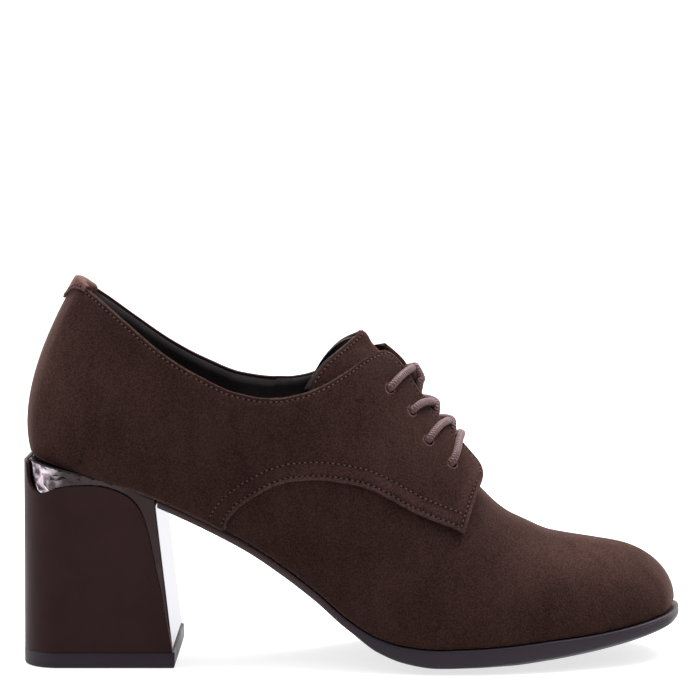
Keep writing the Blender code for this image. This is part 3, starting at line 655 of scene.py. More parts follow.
# Soft hollows and swells on the suede:
# row, side (-1 lateral, 1 medial, 0 both), share of the height, reach along, reach up, depth
softDents = [
    (14.9, 0, 0.96, 0.55, 0.10, -0.35),
    (15.9, 0, 0.93, 0.45, 0.12, 0.22),
    (13.0, -1, 0.30, 0.80, 0.10, -0.28),
    (12.0, 1, 0.34, 0.80, 0.10, -0.28),
    (10.4, 0, 0.52, 0.55, 0.10, -0.30),
    (9.2, 0, 0.34, 0.70, 0.12, 0.25),
    (6.9, 0, 0.62, 0.80, 0.16, -0.40),
    (4.6, 0, 0.30, 0.90, 0.14, 0.22),
    (2.6, 0, 0.72, 0.70, 0.14, -0.30),
    (17.6, 0, 0.50, 1.10, 0.16, 0.20),
]


def dentHeight(u, s):
    row = rowOf(u)
    side = 1 if u % ringLength > lastRow else -1
    total = 0.0
    for dentRow, dentSide, dentS, along, up, depth in softDents:
        if dentSide in (0, side):
            total += depth * hump(row - dentRow, along) * hump(s - dentS, up)
    return total


# Places where the suede is painted lighter, partly brushed nap and partly painted highlight on the top-lit toe, heel
# back and topline: along, up, reach along, reach up, amount
litAndBrushedSpots = [
    (15.0, 108.0, 14.0, 28.0, 0.48), (122.0, 84.0, 24.0, 20.0, 0.22), (204.0, 39.0, 22.0, 9.0, 0.55),
    (176.0, 47.0, 20.0, 8.0, 0.18), (226.0, 27.0, 10.0, 9.0, 0.20), (60.0, 101.0, 26.0, 8.0, 0.12),
    (150.0, 55.0, 16.0, 10.0, 0.12),
]


def paintLitAndBrushed(bm):
    layer = bm.verts.layers.float.new("brushedAndLit")
    for v in bm.verts:
        v[layer] = sum(amount * hump(v.co.x - x, along) * hump(v.co.z - z, up)
                       for x, z, along, up, amount in litAndBrushedSpots)
    return layer


def nearest(points):   # for the distance to the nearest of these points
    tree = kdtree.KDTree(len(points))
    for i, point in enumerate(points):
        tree.insert(point, i)
    tree.balance()
    return tree


# Quarters: lapped over the vamp, punched for the lace, raw lighter edge all round
quarter = {
    "front": 14.0, "backSeam": 0.02, "outer": 1.7, "thick": 1.45, "cornerRadius": 7.5, "cornerRows": 0.32,
    "step": 0.05, "frontRows": [13.75, 13.8, 13.84, 13.88, 13.91, 13.94, 13.97, 14.0], "middleRows": 36,
    "edgeRows": [0, 0.3, 0.7, 1.0, 1.3, 1.6, 1.9, 2.3, 2.9, 3.7, 4.6, 5.2, 5.6, 6.0, 6.4, 6.8, 7.4],
    "topRows": [3.6, 3.0, 2.6, 2.2, 1.9, 1.6, 1.2, 0.8, 0.4, 0.0],
    "bead": 0.34, "beadAt": 0.75, "beadReach": 0.65, "groove": 0.26, "holeRadius": 1.75, "frontLean": 0.12,
    "skive": (0.5, 2.6), "turnUnder": (1.3, 2.6), "collarDip": (0.35, 3.5),   # amount, reach from the edge
    "facingRise": (0.35, 6.0), "farRise": (1.3, 8.0),
    "wornEdge": 0.5, "wornAndLitLap": 1.2, "turnedIn": 7.0, "turnedRows": (9.6, 12.0),
    # The band between the two lap seams is a painted sheen
    "sheenBandTone": 0.42, "sheenBandAt": 3.9, "sheenBandReach": 1.7, "sheenBandFrom": (84.0, 110.0),
}
stitch = {"pitch": 1.95, "long": 1.05, "radius": 0.29, "hole": 0.36, "rise": 0.02,
          "top": (1.5, 0.0, 2.5), "front": (1.8, 0.6, 1.2),   # inset, length left off at the start and the end
          "lap": (1.6, 1.9, 0.5), "second": (6.2, 2.6, 3.0)}


def quarterTop(u):
    top = topS(u, gap=shoe["facingGap"])
    start = quarter["front"] - quarter["cornerRows"]
    t = max(rowOf(u) - start, 0.0) / quarter["cornerRows"]
    if t > 0.0:
        top -= quarter["cornerRadius"] * (1.0 - math.sqrt(max(1.0 - t * t, 0.0))) * perMillimetre(u, top)
    return top


def quarterHeight(u, s, low, top):
    row, scale = rowOf(u), perMillimetre(u, s)
    fromLap, fromTop = (s - low) / scale, (top - s) / scale
    height = quarter["outer"] + facingLift(u, s) + dentHeight(u, s)
    if low > 0.0:
        height += quarter["bead"] * hump(fromLap - quarter["beadAt"], quarter["beadReach"])
        height -= fadeOut(fromLap, *quarter["skive"]) * ramp(lastPoint(u, s).x, 78.0, 92.0)
    else:
        height -= fadeOut(fromLap, *quarter["turnUnder"])
    height -= fadeOut(fromTop, *quarter["collarDip"]) * ramp(10.5 - row, 0.0, 1.0)
    height += fadeOut(fromTop, *quarter["facingRise"]) * ramp(row, 10.0, 11.0)
    if u % ringLength > lastRow:   # the far facing stands a little off the tongue
        height += fadeOut(fromTop, *quarter["farRise"]) * hump(row - 11.0, 1.0)
    return height


boundsCache = {}


def quarterBounds(u):   # where the quarter starts and stops on its way up
    if u not in boundsCache:
        boundsCache[u] = (lapS(u), quarterTop(u))
    return boundsCache[u]


def quarterPoint(u, s):
    low, top = quarterBounds(u)
    back = quarter["frontLean"] * ramp(rowOf(u), 13.3, 14.0) * ramp(s, 0.5, 0.95)   # the front edge leans back
    leaned = u - back if u % ringLength < lastRow else u + back
    return onLast(leaned, s, quarterHeight(u, s, low, top)), lastNormal(leaned, s)


def insetLine(places, inset, turn):   # a line on the quarter, moved in from its edge
    points, normals = zip(*(quarterPoint(u, s) for u, s in places))
    line = []
    for i in range(len(points)):
        run = points[min(i + 1, len(points) - 1)] - points[max(i - 1, 0)]
        if run.length > 1e-6:
            line.append((points[i] + run.normalized().cross(normals[i]) * inset * turn, normals[i]))
    return line


def trimLine(line, start, end):   # cuts a length off both ends
    travelled, kept = [0.0], []
    for (a, _), (b, _) in zip(line, line[1:]):
        travelled.append(travelled[-1] + (b - a).length)
    for distance, item in zip(travelled, line):
        if start <= distance <= travelled[-1] - end:
            kept.append(item)
    return kept


def quarterSeams(side):
    def turned(u):
        return u if side < 0 else ringLength - u
    front = quarter["front"]
    rows = spaced(0.45, front, 0.03)
    lapRows = [u for u in spaced(front, 6.2, 0.03) if quarterBounds(turned(u))[0] > 0.0]
    topLine = [(turned(u), quarterBounds(turned(u))[1]) for u in rows]
    low, high = quarterBounds(turned(front))
    frontLine = [(turned(front), s) for s in spaced(high, low, 0.01)]
    lapLine = [(turned(u), quarterBounds(turned(u))[0]) for u in lapRows]
    turn = 1.0 if side < 0 else -1.0
    seams = []
    for name, places in (("top", topLine), ("front", frontLine), ("lap", lapLine), ("second", lapLine)):
        inset, start, end = stitch[name]
        seams.append(trimLine(insetLine(places, inset, turn), start, end))
    return seams


def punchHoles(bm, centers, radius):   # opens round holes in a sheet and pulls their edge to a circle
    for center, normal in centers:
        around = [e for e in bm.edges if all((v.co - center).length < radius * 2.2 for v in e.verts)]
        bmesh.ops.subdivide_edges(bm, edges=around, cuts=1, use_grid_fill=True)
        near = [f for f in bm.faces if (f.calc_center_median() - center).length < radius * 0.95]
        bmesh.ops.delete(bm, geom=near, context="FACES")
        for v in [v for v in bm.verts if v.is_boundary and (v.co - center).length < radius * 1.6]:
            flat = v.co - center
            flat -= normal * flat.dot(normal)
            v.co += flat.normalized() * (radius - flat.length)


def finishAlong(bm, rim, width, index):   # another finish on the faces near a line
    tree = nearest(rim)
    for face in bm.faces:
        if tree.find(face.calc_center_median())[2] < width:
            face.material_index = index


def holePlaces(side):
    places = []
    for row, away in shoe["holes"]:
        u = row if side < 0 else ringLength - row
        places.append((u, firstS(lambda s: fromRidge(u, s) <= away, 0.5)))
    return places


def makeQuarter(name, side, node):
    rows = spaced(quarter["backSeam"], quarter["frontRows"][0], quarter["step"]) + quarter["frontRows"][1:]
    if side > 0:
        rows = [ringLength - u for u in reversed(rows)]
    edgeRows, topRows, middle = quarter["edgeRows"], quarter["topRows"], quarter["middleRows"]
    levels = []
    for u in rows:
        low, top = quarterBounds(u)
        rise = perMillimetre(u, 0.5 * (low + top))
        squeeze = min(1.0, 0.75 * (top - low) / rise / (edgeRows[-1] + topRows[0]))
        lower = [low + d * rise * squeeze for d in edgeRows]
        upper = [top - d * rise * squeeze for d in topRows]
        between = [lower[-1] + (upper[0] - lower[-1]) * k / middle for k in range(1, middle)]
        levels.append(lower + between + upper)
    bm = gridSheet(len(rows) - 1, len(levels[0]) - 1, lambda i, k: quarterPoint(rows[i], levels[i][k])[0])
    seams = quarterSeams(side)
    tree = nearest([point for line in seams for point, normal in line])
    bm.normal_update()
    for v in bm.verts:
        distance = tree.find(v.co)[2]
        if distance < 1.6:
            v.co -= v.normal * quarter["groove"] * hump(distance, 0.5)
    centers = [quarterPoint(u, s) for u, s in holePlaces(side)]
    punchHoles(bm, centers, quarter["holeRadius"])
    first, last = quarter["turnedRows"]
    turnedIn = [quarterPoint(u, level[-1])[0] for u, level in zip(rows, levels) if first < rowOf(u) < last]
    finishAlong(bm, turnedIn, quarter["turnedIn"], 4)
    finishAlong(bm, [v.co for v in bm.verts if v.is_boundary], quarter["wornEdge"], 3)
    lapEdge = [quarterPoint(u, level[0])[0] for u, level in zip(rows, levels) if level[0] > 0.0]
    frontRow = 0 if side > 0 else -1
    lapEdge += [quarterPoint(rows[frontRow], s)[0] for s in levels[frontRow]]
    # Lighter raw edge along the lap, partly a painted highlight on the raised bead
    finishAlong(bm, lapEdge, quarter["wornAndLitLap"], 1)
    layer, edge = paintLitAndBrushed(bm), nearest(lapEdge)
    for v in bm.verts:
        sheenBand = hump(edge.find(v.co)[2] - quarter["sheenBandAt"], quarter["sheenBandReach"])
        v[layer] += quarter["sheenBandTone"] * sheenBand * ramp(v.co.x, *quarter["sheenBandFrom"])   # painted sheen: paler between the seams
    surface = BVHTree.FromBMesh(bm)
    seams = [[surface.find_nearest(point)[:2] for point, normal in line] for line in seams]
    outside = ["suede", "suedeBead", "suede", "suedeEdge", "suede"]
    inside = ["lining", "lining", "lining", "suedeTongue", "suedeTongue"]   # suede where the facing turns in
    piece = makePiece(name, bm, outside + inside, [node])
    addWall(piece, quarter["thick"], inner=len(outside), rim=1)
    roundEdges(piece, 0.32)
    return seams


seamLines = makeQuarter("quarter_suede_lateral", -1, "quarter_lateral")
seamLines += makeQuarter("quarter_suede_medial", 1, "quarter_medial")


# Vamp: one suede sheet round the toe, running on under the quarters
vamp = {"start": 6.2, "step": 0.1, "rows": 64, "under": 9.0, "joinRows": (12.3, 13.2), "thick": 0.9,
        "tuck": (0.55, 2.2)}


def vampTop(u):
    top = topS(u)
    low = lapS(u)
    under = min(low + vamp["under"] * perMillimetre(u, low), top)
    return under + (top - under) * ramp(rowOf(u), *vamp["joinRows"])


def vampPoint(u, s):
    fromFoot = s / perMillimetre(u, s)
    height = dentHeight(u, s) * ramp(rowOf(u), 8.0, 9.0) - fadeOut(fromFoot, *vamp["tuck"])
    return lastPoint(u, s) + ridgeNormal(u, s) * height


def makeVamp():
    rows = spaced(vamp["start"], ringLength - vamp["start"], vamp["step"])
    tops = [vampTop(u) for u in rows]
    bm = gridSheet(len(rows) - 1, vamp["rows"], lambda i, k: vampPoint(rows[i], tops[i] * k / vamp["rows"]))
    bmesh.ops.remove_doubles(bm, verts=bm.verts, dist=0.02)
    bmesh.ops.recalc_face_normals(bm, faces=bm.faces)
    paintLitAndBrushed(bm)
    piece = makePiece("vamp_suede", bm, ["suede", "suedeEdge", "lining"], ["upper"])
    addWall(piece, vamp["thick"], inner=2, rim=1)


makeVamp()

# Lining: black leather inside the whole upper, turned out at the topline
liner = {"step": 0.1, "rows": 48, "below": 0.5, "thick": 0.45, "lip": (1.25, 2.2),
         "throat": [(8.3, 17.0), (9.2, 20.0), (10.0, 22.0), (13.0, 21.0), (13.8, 0.0)]}


def linerTop(u):
    row = rowOf(u)
    top = topS(u, lineValue(liner["throat"], row) if 8.0 < row < 13.8 else 0.0, liner["below"])
    return top - liner["below"] * perMillimetre(u, top) if row <= shoe["collarRows"][0] else top


def makeLiner():
    rows = spaced(0.0, ringLength, liner["step"])
    tops = [linerTop(u) for u in rows]

    def place(i, k):
        u, s = rows[i], tops[i] * k / liner["rows"]
        turnOut = fadeOut((tops[i] - s) / perMillimetre(u, s), *liner["lip"])
        return lastPoint(u, s) + ridgeNormal(u, s) * (turnOut * ramp(11.0 - rowOf(u), 0.0, 1.0) - shoe["wall"])
    bm = gridSheet(len(rows) - 1, liner["rows"], place)
    bmesh.ops.remove_doubles(bm, verts=bm.verts, dist=0.02)
    bmesh.ops.recalc_face_normals(bm, faces=bm.faces)
    bmesh.ops.reverse_faces(bm, faces=bm.faces)   # the face that shows looks inwards
    piece = makePiece("lining_leather", bm, ["lining"])
    addWall(piece, liner["thick"])
    roundEdges(piece, 0.15, 1)


makeLiner()

# Tongue: redder suede on black lining, wider than the gap between the facings
tongue = {"widths": [(9.0, 24.5), (10.0, 25.5), (11.0, 25.5), (12.0, 24.5), (13.0, 22.0), (13.9, 18.0)],
          "step": 0.08, "half": 26, "seat": 2.45, "suede": 1.1, "lining": 1.1, "between": 0.05,
          "nearCut": 0.42, "farCut": 0.16, "cutShape": 1.4, "lead": 0.14, "tip": 2.4, "seam": 1.5}


def makeTongue(name, sink, thick, finish, stands, lead):
    rows = spaced(tongue["widths"][0][0], tongue["widths"][-1][0], tongue["step"])
    half, last = tongue["half"], len(rows) - 1

    def place(i, k):
        near = k <= half
        share = (half - abs(k - half)) / half
        # The near half is cut lower, and there the lining comes out from under the suede
        cut = tongue["nearCut" if near else "farCut"] * math.sin(math.pi * share ** tongue["cutShape"])
        ahead = lead * (1.0 - share) if near else 0.0
        row = rows[i] + (cut - ahead) * (1.0 - i / last) ** 3
        u = row if near else ringLength - row
        hands, middle, width = rowHandles(u), ringValue("mid", u), lineValue(tongue["widths"], row)
        start = firstS(lambda s: abs(alongRow(hands, s).y - middle) < width, 0.5)
        s = start + (1.0 - start) * share
        swell = 0.3 * noise.noise(Vector((row * 2.1, k * 0.14, sink)))
        seat = alongRow(hands, s)
        tip = (seat - alongRow(rowHandles(u + (0.3 if near else -0.3)), s)).normalized() * tongue["tip"]
        return seat + ridgeNormal(u, s) * (swell - sink) + tip * share ** 9 * (1.0 - i / last) ** 8
    bm = gridSheet(last, 2 * half, place)
    faceUp(bm)
    bmesh.ops.smooth_vert(bm, verts=[v for v in bm.verts if not v.is_boundary], factor=0.5,
                          use_axis_x=True, use_axis_y=True, use_axis_z=True)
    surface = BVHTree.FromBMesh(bm)
    seam = []
    for k in range(2, 2 * half - 1):
        edge = place(0, k)
        inside = next(place(i, k) for i in range(1, last) if (place(i, k) - edge).length > tongue["seam"])
        seam.append(surface.find_nearest(edge + (inside - edge).normalized() * tongue["seam"])[:2])
    # The tongue lining's rim takes the lighter edge finish, partly a painted highlight
    piece = makePiece(name, bm, [finish, "suedeEdge" if finish == "suedeTongue" else "liningEdgeLit"], stands)
    addWall(piece, thick, rim=1)
    roundEdges(piece, 0.3)
    return [seam]


seamLines += makeTongue("tongue_suede", tongue["seat"], tongue["suede"], "suedeTongue", ["tongue"], 0.0)
liningSeat = tongue["seat"] + tongue["suede"] + tongue["between"]
makeTongue("tongue_lining", liningSeat, tongue["lining"], "lining", (), tongue["lead"])

# Heel tab: a small suede strip folded over the topline at the back seam, tapering to its ends
tab = {"heights": [(0.0, 8.2), (0.25, 7.0), (0.5, 4.9), (0.75, 3.1), (1.0, 2.1), (1.5, 1.5)],
       "reach": 1.5, "columns": 60, "inside": 6.0, "thick": 0.8, "taper": 0.24,
       "crown": [(2.62, 0.0), (2.35, 0.9), (1.3, 1.45), (0.2, 1.55), (-0.9, 1.4), (-1.8, 0.8), (-2.2, 0.0)]}


def tabPoint(u, share):
    height = lineValue(tab["heights"], abs(u))
    slim = 1.0 - tab["taper"] * ramp(abs(u), 0.6, tab["reach"])
    top, out = lastPoint(u, 1.0), lastNormal(u, 1.0)
    up = (top - lastPoint(u, 0.94)).normalized()
    crown = tab["crown"]
    path = [(crown[0][0], -height)] + crown + [(crown[-1][0], -min(tab["inside"], height))]
    place = share * (len(path) - 1)
    i = min(int(place), len(path) - 2)
    (a0, b0), (a1, b1) = path[i], path[i + 1]
    away, above = a0 + (a1 - a0) * (place - i), b0 + (b1 - b0) * (place - i)
    return top + out * away * slim + up * (above * slim if above > 0.0 else above)


def makeTab():
    shares = [k / 8 * 1 / 8 for k in range(9)] + [1 / 8 + k / 24 * 6 / 8 for k in range(1, 25)]
    shares += [7 / 8 + k / 6 * 1 / 8 for k in range(1, 7)]
    columns = spaced(-tab["reach"], tab["reach"], 2 * tab["reach"] / tab["columns"])
    bm = gridSheet(len(columns) - 1, len(shares) - 1, lambda i, k: tabPoint(columns[i], shares[k]))
    bmesh.ops.recalc_face_normals(bm, faces=bm.faces)
    center = Vector((30.0, 0.0, 128.0))
    outside = max(bm.faces, key=lambda f: (f.calc_center_median() - center).length)
    if outside.normal.dot(outside.calc_center_median() - center) < 0:
        bmesh.ops.reverse_faces(bm, faces=bm.faces)
    seam = [(tabPoint(u, 0.125 * min(1.1 / lineValue(tab["heights"], abs(u)), 0.6)), lastNormal(u, 1.0))
            for u in spaced(-1.3, 1.3, 0.02)]
    piece = makePiece("heel_tab_suede", bm, ["suedeTrim", "suedeEdge"], ["heel_tab"])
    addWall(piece, tab["thick"], rim=1)
    roundEdges(piece, 0.25)
    return [seam]


seamLines += makeTab()

# Insole: black leather sock, a little cupped
insole = {"inset": 2.0, "seat": 0.4, "thick": 2.0, "step": 0.2, "across": 18, "cup": 0.5}


def makeInsole():
    rows = spaced(0.0, lastRow, insole["step"])

    def place(i, k):
        row = rows[i]
        left = footPoint(row) - outwardAt(row) * insole["inset"]
        right = footPoint(ringLength - row) - outwardAt(ringLength - row) * insole["inset"]
        v = 2.0 * k / insole["across"] - 1.0
        point = left.lerp(right, 0.5 * (v + 1.0))
        base = ringValue("rim", row) + insole["seat"] + insole["thick"] - insole["cup"]
        return Vector((point.x, point.y, base + insole["cup"] * v * v))
    bm = gridSheet(len(rows) - 1, insole["across"], place)
    bmesh.ops.remove_doubles(bm, verts=bm.verts, dist=0.02)
    faceUp(bm)
    piece = makePiece("insole_leather", bm, ["lining"], ["insole"])
    addWall(piece, insole["thick"] - insole["cup"] - 0.05)
    roundEdges(piece, 0.3)


makeInsole()

# Outsole: welt, edge and underside drawn round each row from the heel breast to the toe
sole = {
    "rows": [   # row, welt, thickness of the edge, height of the underside
        (5, -0.4, 2.6, 56.5), (6, -0.4, 2.6, 50.1), (7, -0.3, 2.7, 42.1), (8, -0.2, 2.9, 37.8),
        (9, -0.1, 3.2, 33.0), (10, -0.1, 3.4, 24.2), (11, 0.0, 3.6, 14.7), (11.4, 0.0, 4.0, 11.4),
        (11.6, 0.1, 4.3, 9.9), (12, 0.3, 5.0, 5.9), (13, 0.6, 5.9, 1.6), (13.5, 0.6, 6.3, 0.6),
        (14, 0.6, 6.5, 0.0), (14.5, 0.6, 6.6, 0.0), (15, 0.6, 6.5, 0.0), (16, 0.6, 6.4, 0.3),
        (17, 0.7, 6.2, 1.6), (18, 0.8, 5.4, 3.4), (19, 1.0, 4.6, 5.8), (20, 1.2, 4.4, 8.4),
        (21, 1.4, 4.4, 11.0), (22, 1.6, 4.4, 13.4)],
    "step": 0.1, "flat": 0.55, "seat": 0.4, "topSteps": 14, "edgeSteps": 16, "underSteps": 20,
    "round": 2.4, "lip": 0.2, "groove": 0.42, "grooveAt": 1.35, "grooveRows": (18.8, 20.6),
}


def soleEdge(row, down, thick):   # how far the edge of the sole goes in or out, down from the welt
    up = thick - down
    groove = sole["groove"] * hump(down - sole["grooveAt"], 0.3) * ramp(row, *sole["grooveRows"])
    lower = min(sole["round"], 0.3 * thick)
    corner = lower * (1.0 - math.sqrt(max(1.0 - max(1.0 - up / lower, 0.0) ** 2, 0.0)))
    return 0.2 * math.sin(math.pi * down / thick) - sole["lip"] * hump(down, 0.25) - groove - corner


def makeSole():
    rows = spaced(sole["rows"][0][0], 21.0, sole["step"]) + spaced(21.03, lastRow, 0.03)
    tops, edges, unders = sole["topSteps"], sole["edgeSteps"], sole["underSteps"]
    turns = [("top", k / tops) for k in range(tops)] + [("right", k / edges) for k in range(edges)]
    turns += [("under", 1.0 - k / unders) for k in range(unders)] + [("left", 1.0 - k / edges) for k in range(edges)]
    turns.append(turns[0])
    tables = [[(line[0], line[n]) for line in sole["rows"]] for n in (1, 2, 3)]
    drawn = {row: [lineValue(table, row) for table in tables] for row in rows}

    def place(i, k):
        row, (part, share) = rows[i], turns[k]
        welt, thick, ground = drawn[row]
        top = ringValue("rim", row) - sole["seat"]
        low = top - thick
        ground = ground + (low - ground) * ramp(row, 21.0, lastRow)
        across = {"left": 0.0, "right": 1.0}.get(part, share)
        down = {"top": 0.0, "under": thick}.get(part, share * thick)
        shift = welt + soleEdge(row, down, thick)
        left = footPoint(row) + outwardAt(row) * shift
        right = footPoint(ringLength - row) + outwardAt(ringLength - row) * shift
        point = left.lerp(right, across)
        away = max(abs(2.0 * across - 1.0) - sole["flat"], 0.0) / (1.0 - sole["flat"])
        point.z = ground + (low - ground) * away * away if part == "under" else top - down
        return point
    bm = gridSheet(len(rows) - 1, len(turns) - 1, place)
    closeUp(bm)
    makePiece("outsole_rubber", bm, ["rubber"], ["outsole"])


makeSole()

# Heel: bright core, dark cover with a curved edge, rubber top piece
heel = {
    "seat": 0.4, "back": 1.3, "length": 55.2, "topLength": 47.2, "half": 26.2, "topHalf": 27.6, "height": 72.0,
    "corner": 13.0, "lean": 0.7, "ground": 6.0, "coreInset": 1.6, "coreSteps": 64, "coreLevels": 56, "breastSteps": 24,
    "film": {"x": 34.0, "z": 57.0, "fold": 0.75, "size": 0.21},
    "coverTop": [(1.9, 72.6), (2.9, 72.5), (3.3, 71.6), (3.5, 69.2), (3.8, 66.8), (4.4, 65.0), (5.5, 63.3),
                 (7.0, 62.0), (8.3, 61.4), (9.0, 61.6), (10.5, 62.4), (12.9, 63.1), (16.0, 63.8), (21.0, 64.5),
                 (27.0, 64.6), (33.0, 63.6), (36.0, 62.5), (38.6, 61.2), (40.6, 59.7), (42.3, 57.8), (43.6, 55.8)],
    "coverFront": [(4.0, 54.6), (11.6, 53.6), (23.6, 51.2), (35.3, 48.8), (45.9, 46.7), (50.0, 45.7), (53.5, 44.6),
                   (56.0, 43.4), (57.8, 42.3), (59.7, 40.6)],
    "coverJoin": (42.3, 57.8),
    "coverThick": 1.2, "coverColumns": 48, "coverLevels": 40, "coverBack": 14, "topPiece": 5.6, "pieceBevel": 0.9,
}


def heelSeat(x):
    return lineValue([(section["x"], section["rim"]) for section in sections[:6]], x) + heel["seat"]


def heelLength(z):
    return heel["length"] + (heel["topLength"] - heel["length"]) * z / heel["height"]


def heelBack(z):   # the back leans forward a little towards the seat
    return heel["back"] + heel["lean"] * z / heel["height"]


def heelSide(x, z, inset):   # half width of the heel at a place along it
    half = heel["half"] + (heel["topHalf"] - heel["half"]) * z / heel["height"]
    corner = heel["corner"] - inset
    short = min(max(corner - (x - heelBack(z) - inset), 0.0), corner)
    return half - inset - corner + math.sqrt(corner * corner - short * short)


def heelLoop(steps, flat):   # once round the heel: (share from back to breast, place across)
    side = [(k / steps) ** 2 for k in range(steps + 1)]
    loop = [(r, -1.0) for r in reversed(side)] + [(0.0, 2.0 * k / flat - 1.0) for k in range(1, flat)]
    return loop + [(r, 1.0) for r in side]


def makeCore():
    loop = heelLoop(heel["coreSteps"], 18)
    breast = heel["breastSteps"]
    loop += [(1.0, 1.0 - 2.0 * k / breast) for k in range(1, breast + 1)]
    inset, ground, levels, film = heel["coreInset"], heel["ground"], heel["coreLevels"], heel["film"]

    def place(i, k):
        r, across = loop[i]
        z = ground
        for _ in range(5):
            x = heelBack(z) + inset + (heelLength(z) - heelBack(z) - inset) * r
            z = ground + (heelSeat(x) - ground) * k / levels
        point = Vector((x, heelSide(x, z, inset) * across, z))
        crumple = ramp(film["x"] - x, 0.0, 24.0) * ramp(z, film["z"], film["z"] + 3.0)
        if crumple > 0.0:
            fold = abs(noise.noise(point * film["size"])) + 0.5 * abs(noise.noise(point * film["size"] * 2.3))
            point += Vector((0.25, -0.9 if across < 0 else 0.9, -0.1)) * (fold - 0.35) * film["fold"] * crumple
        return point
    bm = gridSheet(len(loop) - 1, levels, place)
    closeUp(bm)
    # Forward faces get the clean mirror, the notch the film, and the side walls the dark chrome: a painted dark
    # reflection
    for face in bm.faces:
        center = face.calc_center_median()
        face.material_index = 0 if face.normal.x > 0.7 else 2 if center.x < film["x"] and center.z > film["z"] else 1
    finishes = ["chrome", "shadedChrome", "silverFilm", "lining"]
    piece = makePiece("heel_core_bright", bm, finishes, ["heel_core"])
    roundEdges(piece, 0.45, 3).material = 3   # painted shade: black lining finish on the rounded edge of the breast, for the dark line there


def makeCover():
    loop = heelLoop(heel["coverColumns"], heel["coverBack"])
    ground, levels = heel["ground"] - 0.3, heel["coverLevels"]
    joinX, top = heel["coverJoin"]

    def place(i, k):
        r, across = loop[i]
        share = 1.0 - (1.0 - k / levels) ** 1.5
        level = ground + (top - ground) * share
        front, back = lineValue(heel["coverFront"], level), heelBack(level)
        x = back + (front - back) * r
        z = ground + (lineValue(heel["coverTop"], min(x, joinX)) - ground) * share
        return Vector((x, heelSide(x, z, 0.0) * across, z))
    bm = gridSheet(len(loop) - 1, levels, place)
    bmesh.ops.recalc_face_normals(bm, faces=bm.faces)
    face = min(bm.faces, key=lambda f: f.calc_center_median().x)
    if face.normal.x > 0:
        bmesh.ops.reverse_faces(bm, faces=bm.faces)
    piece = makePiece("heel_cover_satin", bm, ["heelCover"], ["heel_cover"])
    addWall(piece, heel["coverThick"])
    roundEdges(piece, 0.4, 3)


def makeTopPiece():
    loop = heelLoop(48, 14)
    loop += [(1.0, 1.0 - 2.0 * k / 20) for k in range(1, 21)]
    high, bevel = heel["topPiece"], heel["pieceBevel"]
    levels = [(0.0, bevel), (0.06 * bevel, 0.6 * bevel), (0.3 * bevel, 0.22 * bevel), (0.65 * bevel, 0.05 * bevel),
              (bevel, 0.0), (2.5, 0.0), (high - 0.25, 0.0), (high - 0.07, 0.07), (high, 0.25)]

    def place(i, k):
        (r, across), (z, inset) = loop[i], levels[k]
        x = heel["back"] + inset + (heel["length"] - heel["back"] - 2 * inset) * r
        return Vector((x, heelSide(x, 0.0, inset) * across, z))
    bm = gridSheet(len(loop) - 1, len(levels) - 1, place)
    closeUp(bm)
    makePiece("heel_top_rubber", bm, ["rubber"], ["heel_top_piece"])


makeCore()
makeCover()
makeTopPiece()


def evenly(line, pitch):   # points a pitch apart along a line of (point, normal), with the way it runs
    places, left = [], 0.5 * pitch
    for (a, normalA), (b, normalB) in zip(line, line[1:]):
        length = (b - a).length
        while left <= length and length > 0.0:
            t = left / length
            places.append((a.lerp(b, t), normalA.lerp(normalB, t).normalized(), (b - a).normalized()))
            left += pitch
        left -= length
    return places


def scatter(name, spots, finish, radius, size):   # one small ball, pulled to size, at every spot
    bm = bmesh.new()
    bmesh.ops.create_uvsphere(bm, u_segments=8, v_segments=6, radius=radius)
    bmesh.ops.scale(bm, verts=bm.verts, vec=Vector(size))
    ball = bpy.data.meshes.new(name + "_ball")
    bm.to_mesh(ball)
    bm.clear()
    for point, normal, run in spots:
        side = normal.cross(run).normalized()
        turn = Matrix.Translation(point) @ Matrix((run, side, run.cross(side))).transposed().to_4x4()
        ball.transform(turn)
        bm.from_mesh(ball)
        ball.transform(turn.inverted())
    bpy.data.meshes.remove(ball)
    makePiece(name, bm, [finish])


def makeStitches():
    threads, holeShades = [], []
    for line in seamLines:
        for point, normal, run in evenly(line, stitch["pitch"]):
            threads.append((point + normal * stitch["rise"], normal, run))
            holeShades.append((point + run * 0.5 * stitch["pitch"], normal, run))
    stretch = 0.5 * stitch["long"] / stitch["radius"]
    scatter("stitch_thread", threads, "thread", stitch["radius"], (stretch, 1, 0.8))
    # Small dark flattened balls between the stitches: painted shade in the needle holes
    scatter("stitch_hole_shade", holeShades, "needleHoleShade", stitch["hole"], (1.1, 0.9, 0.35))


makeStitches()

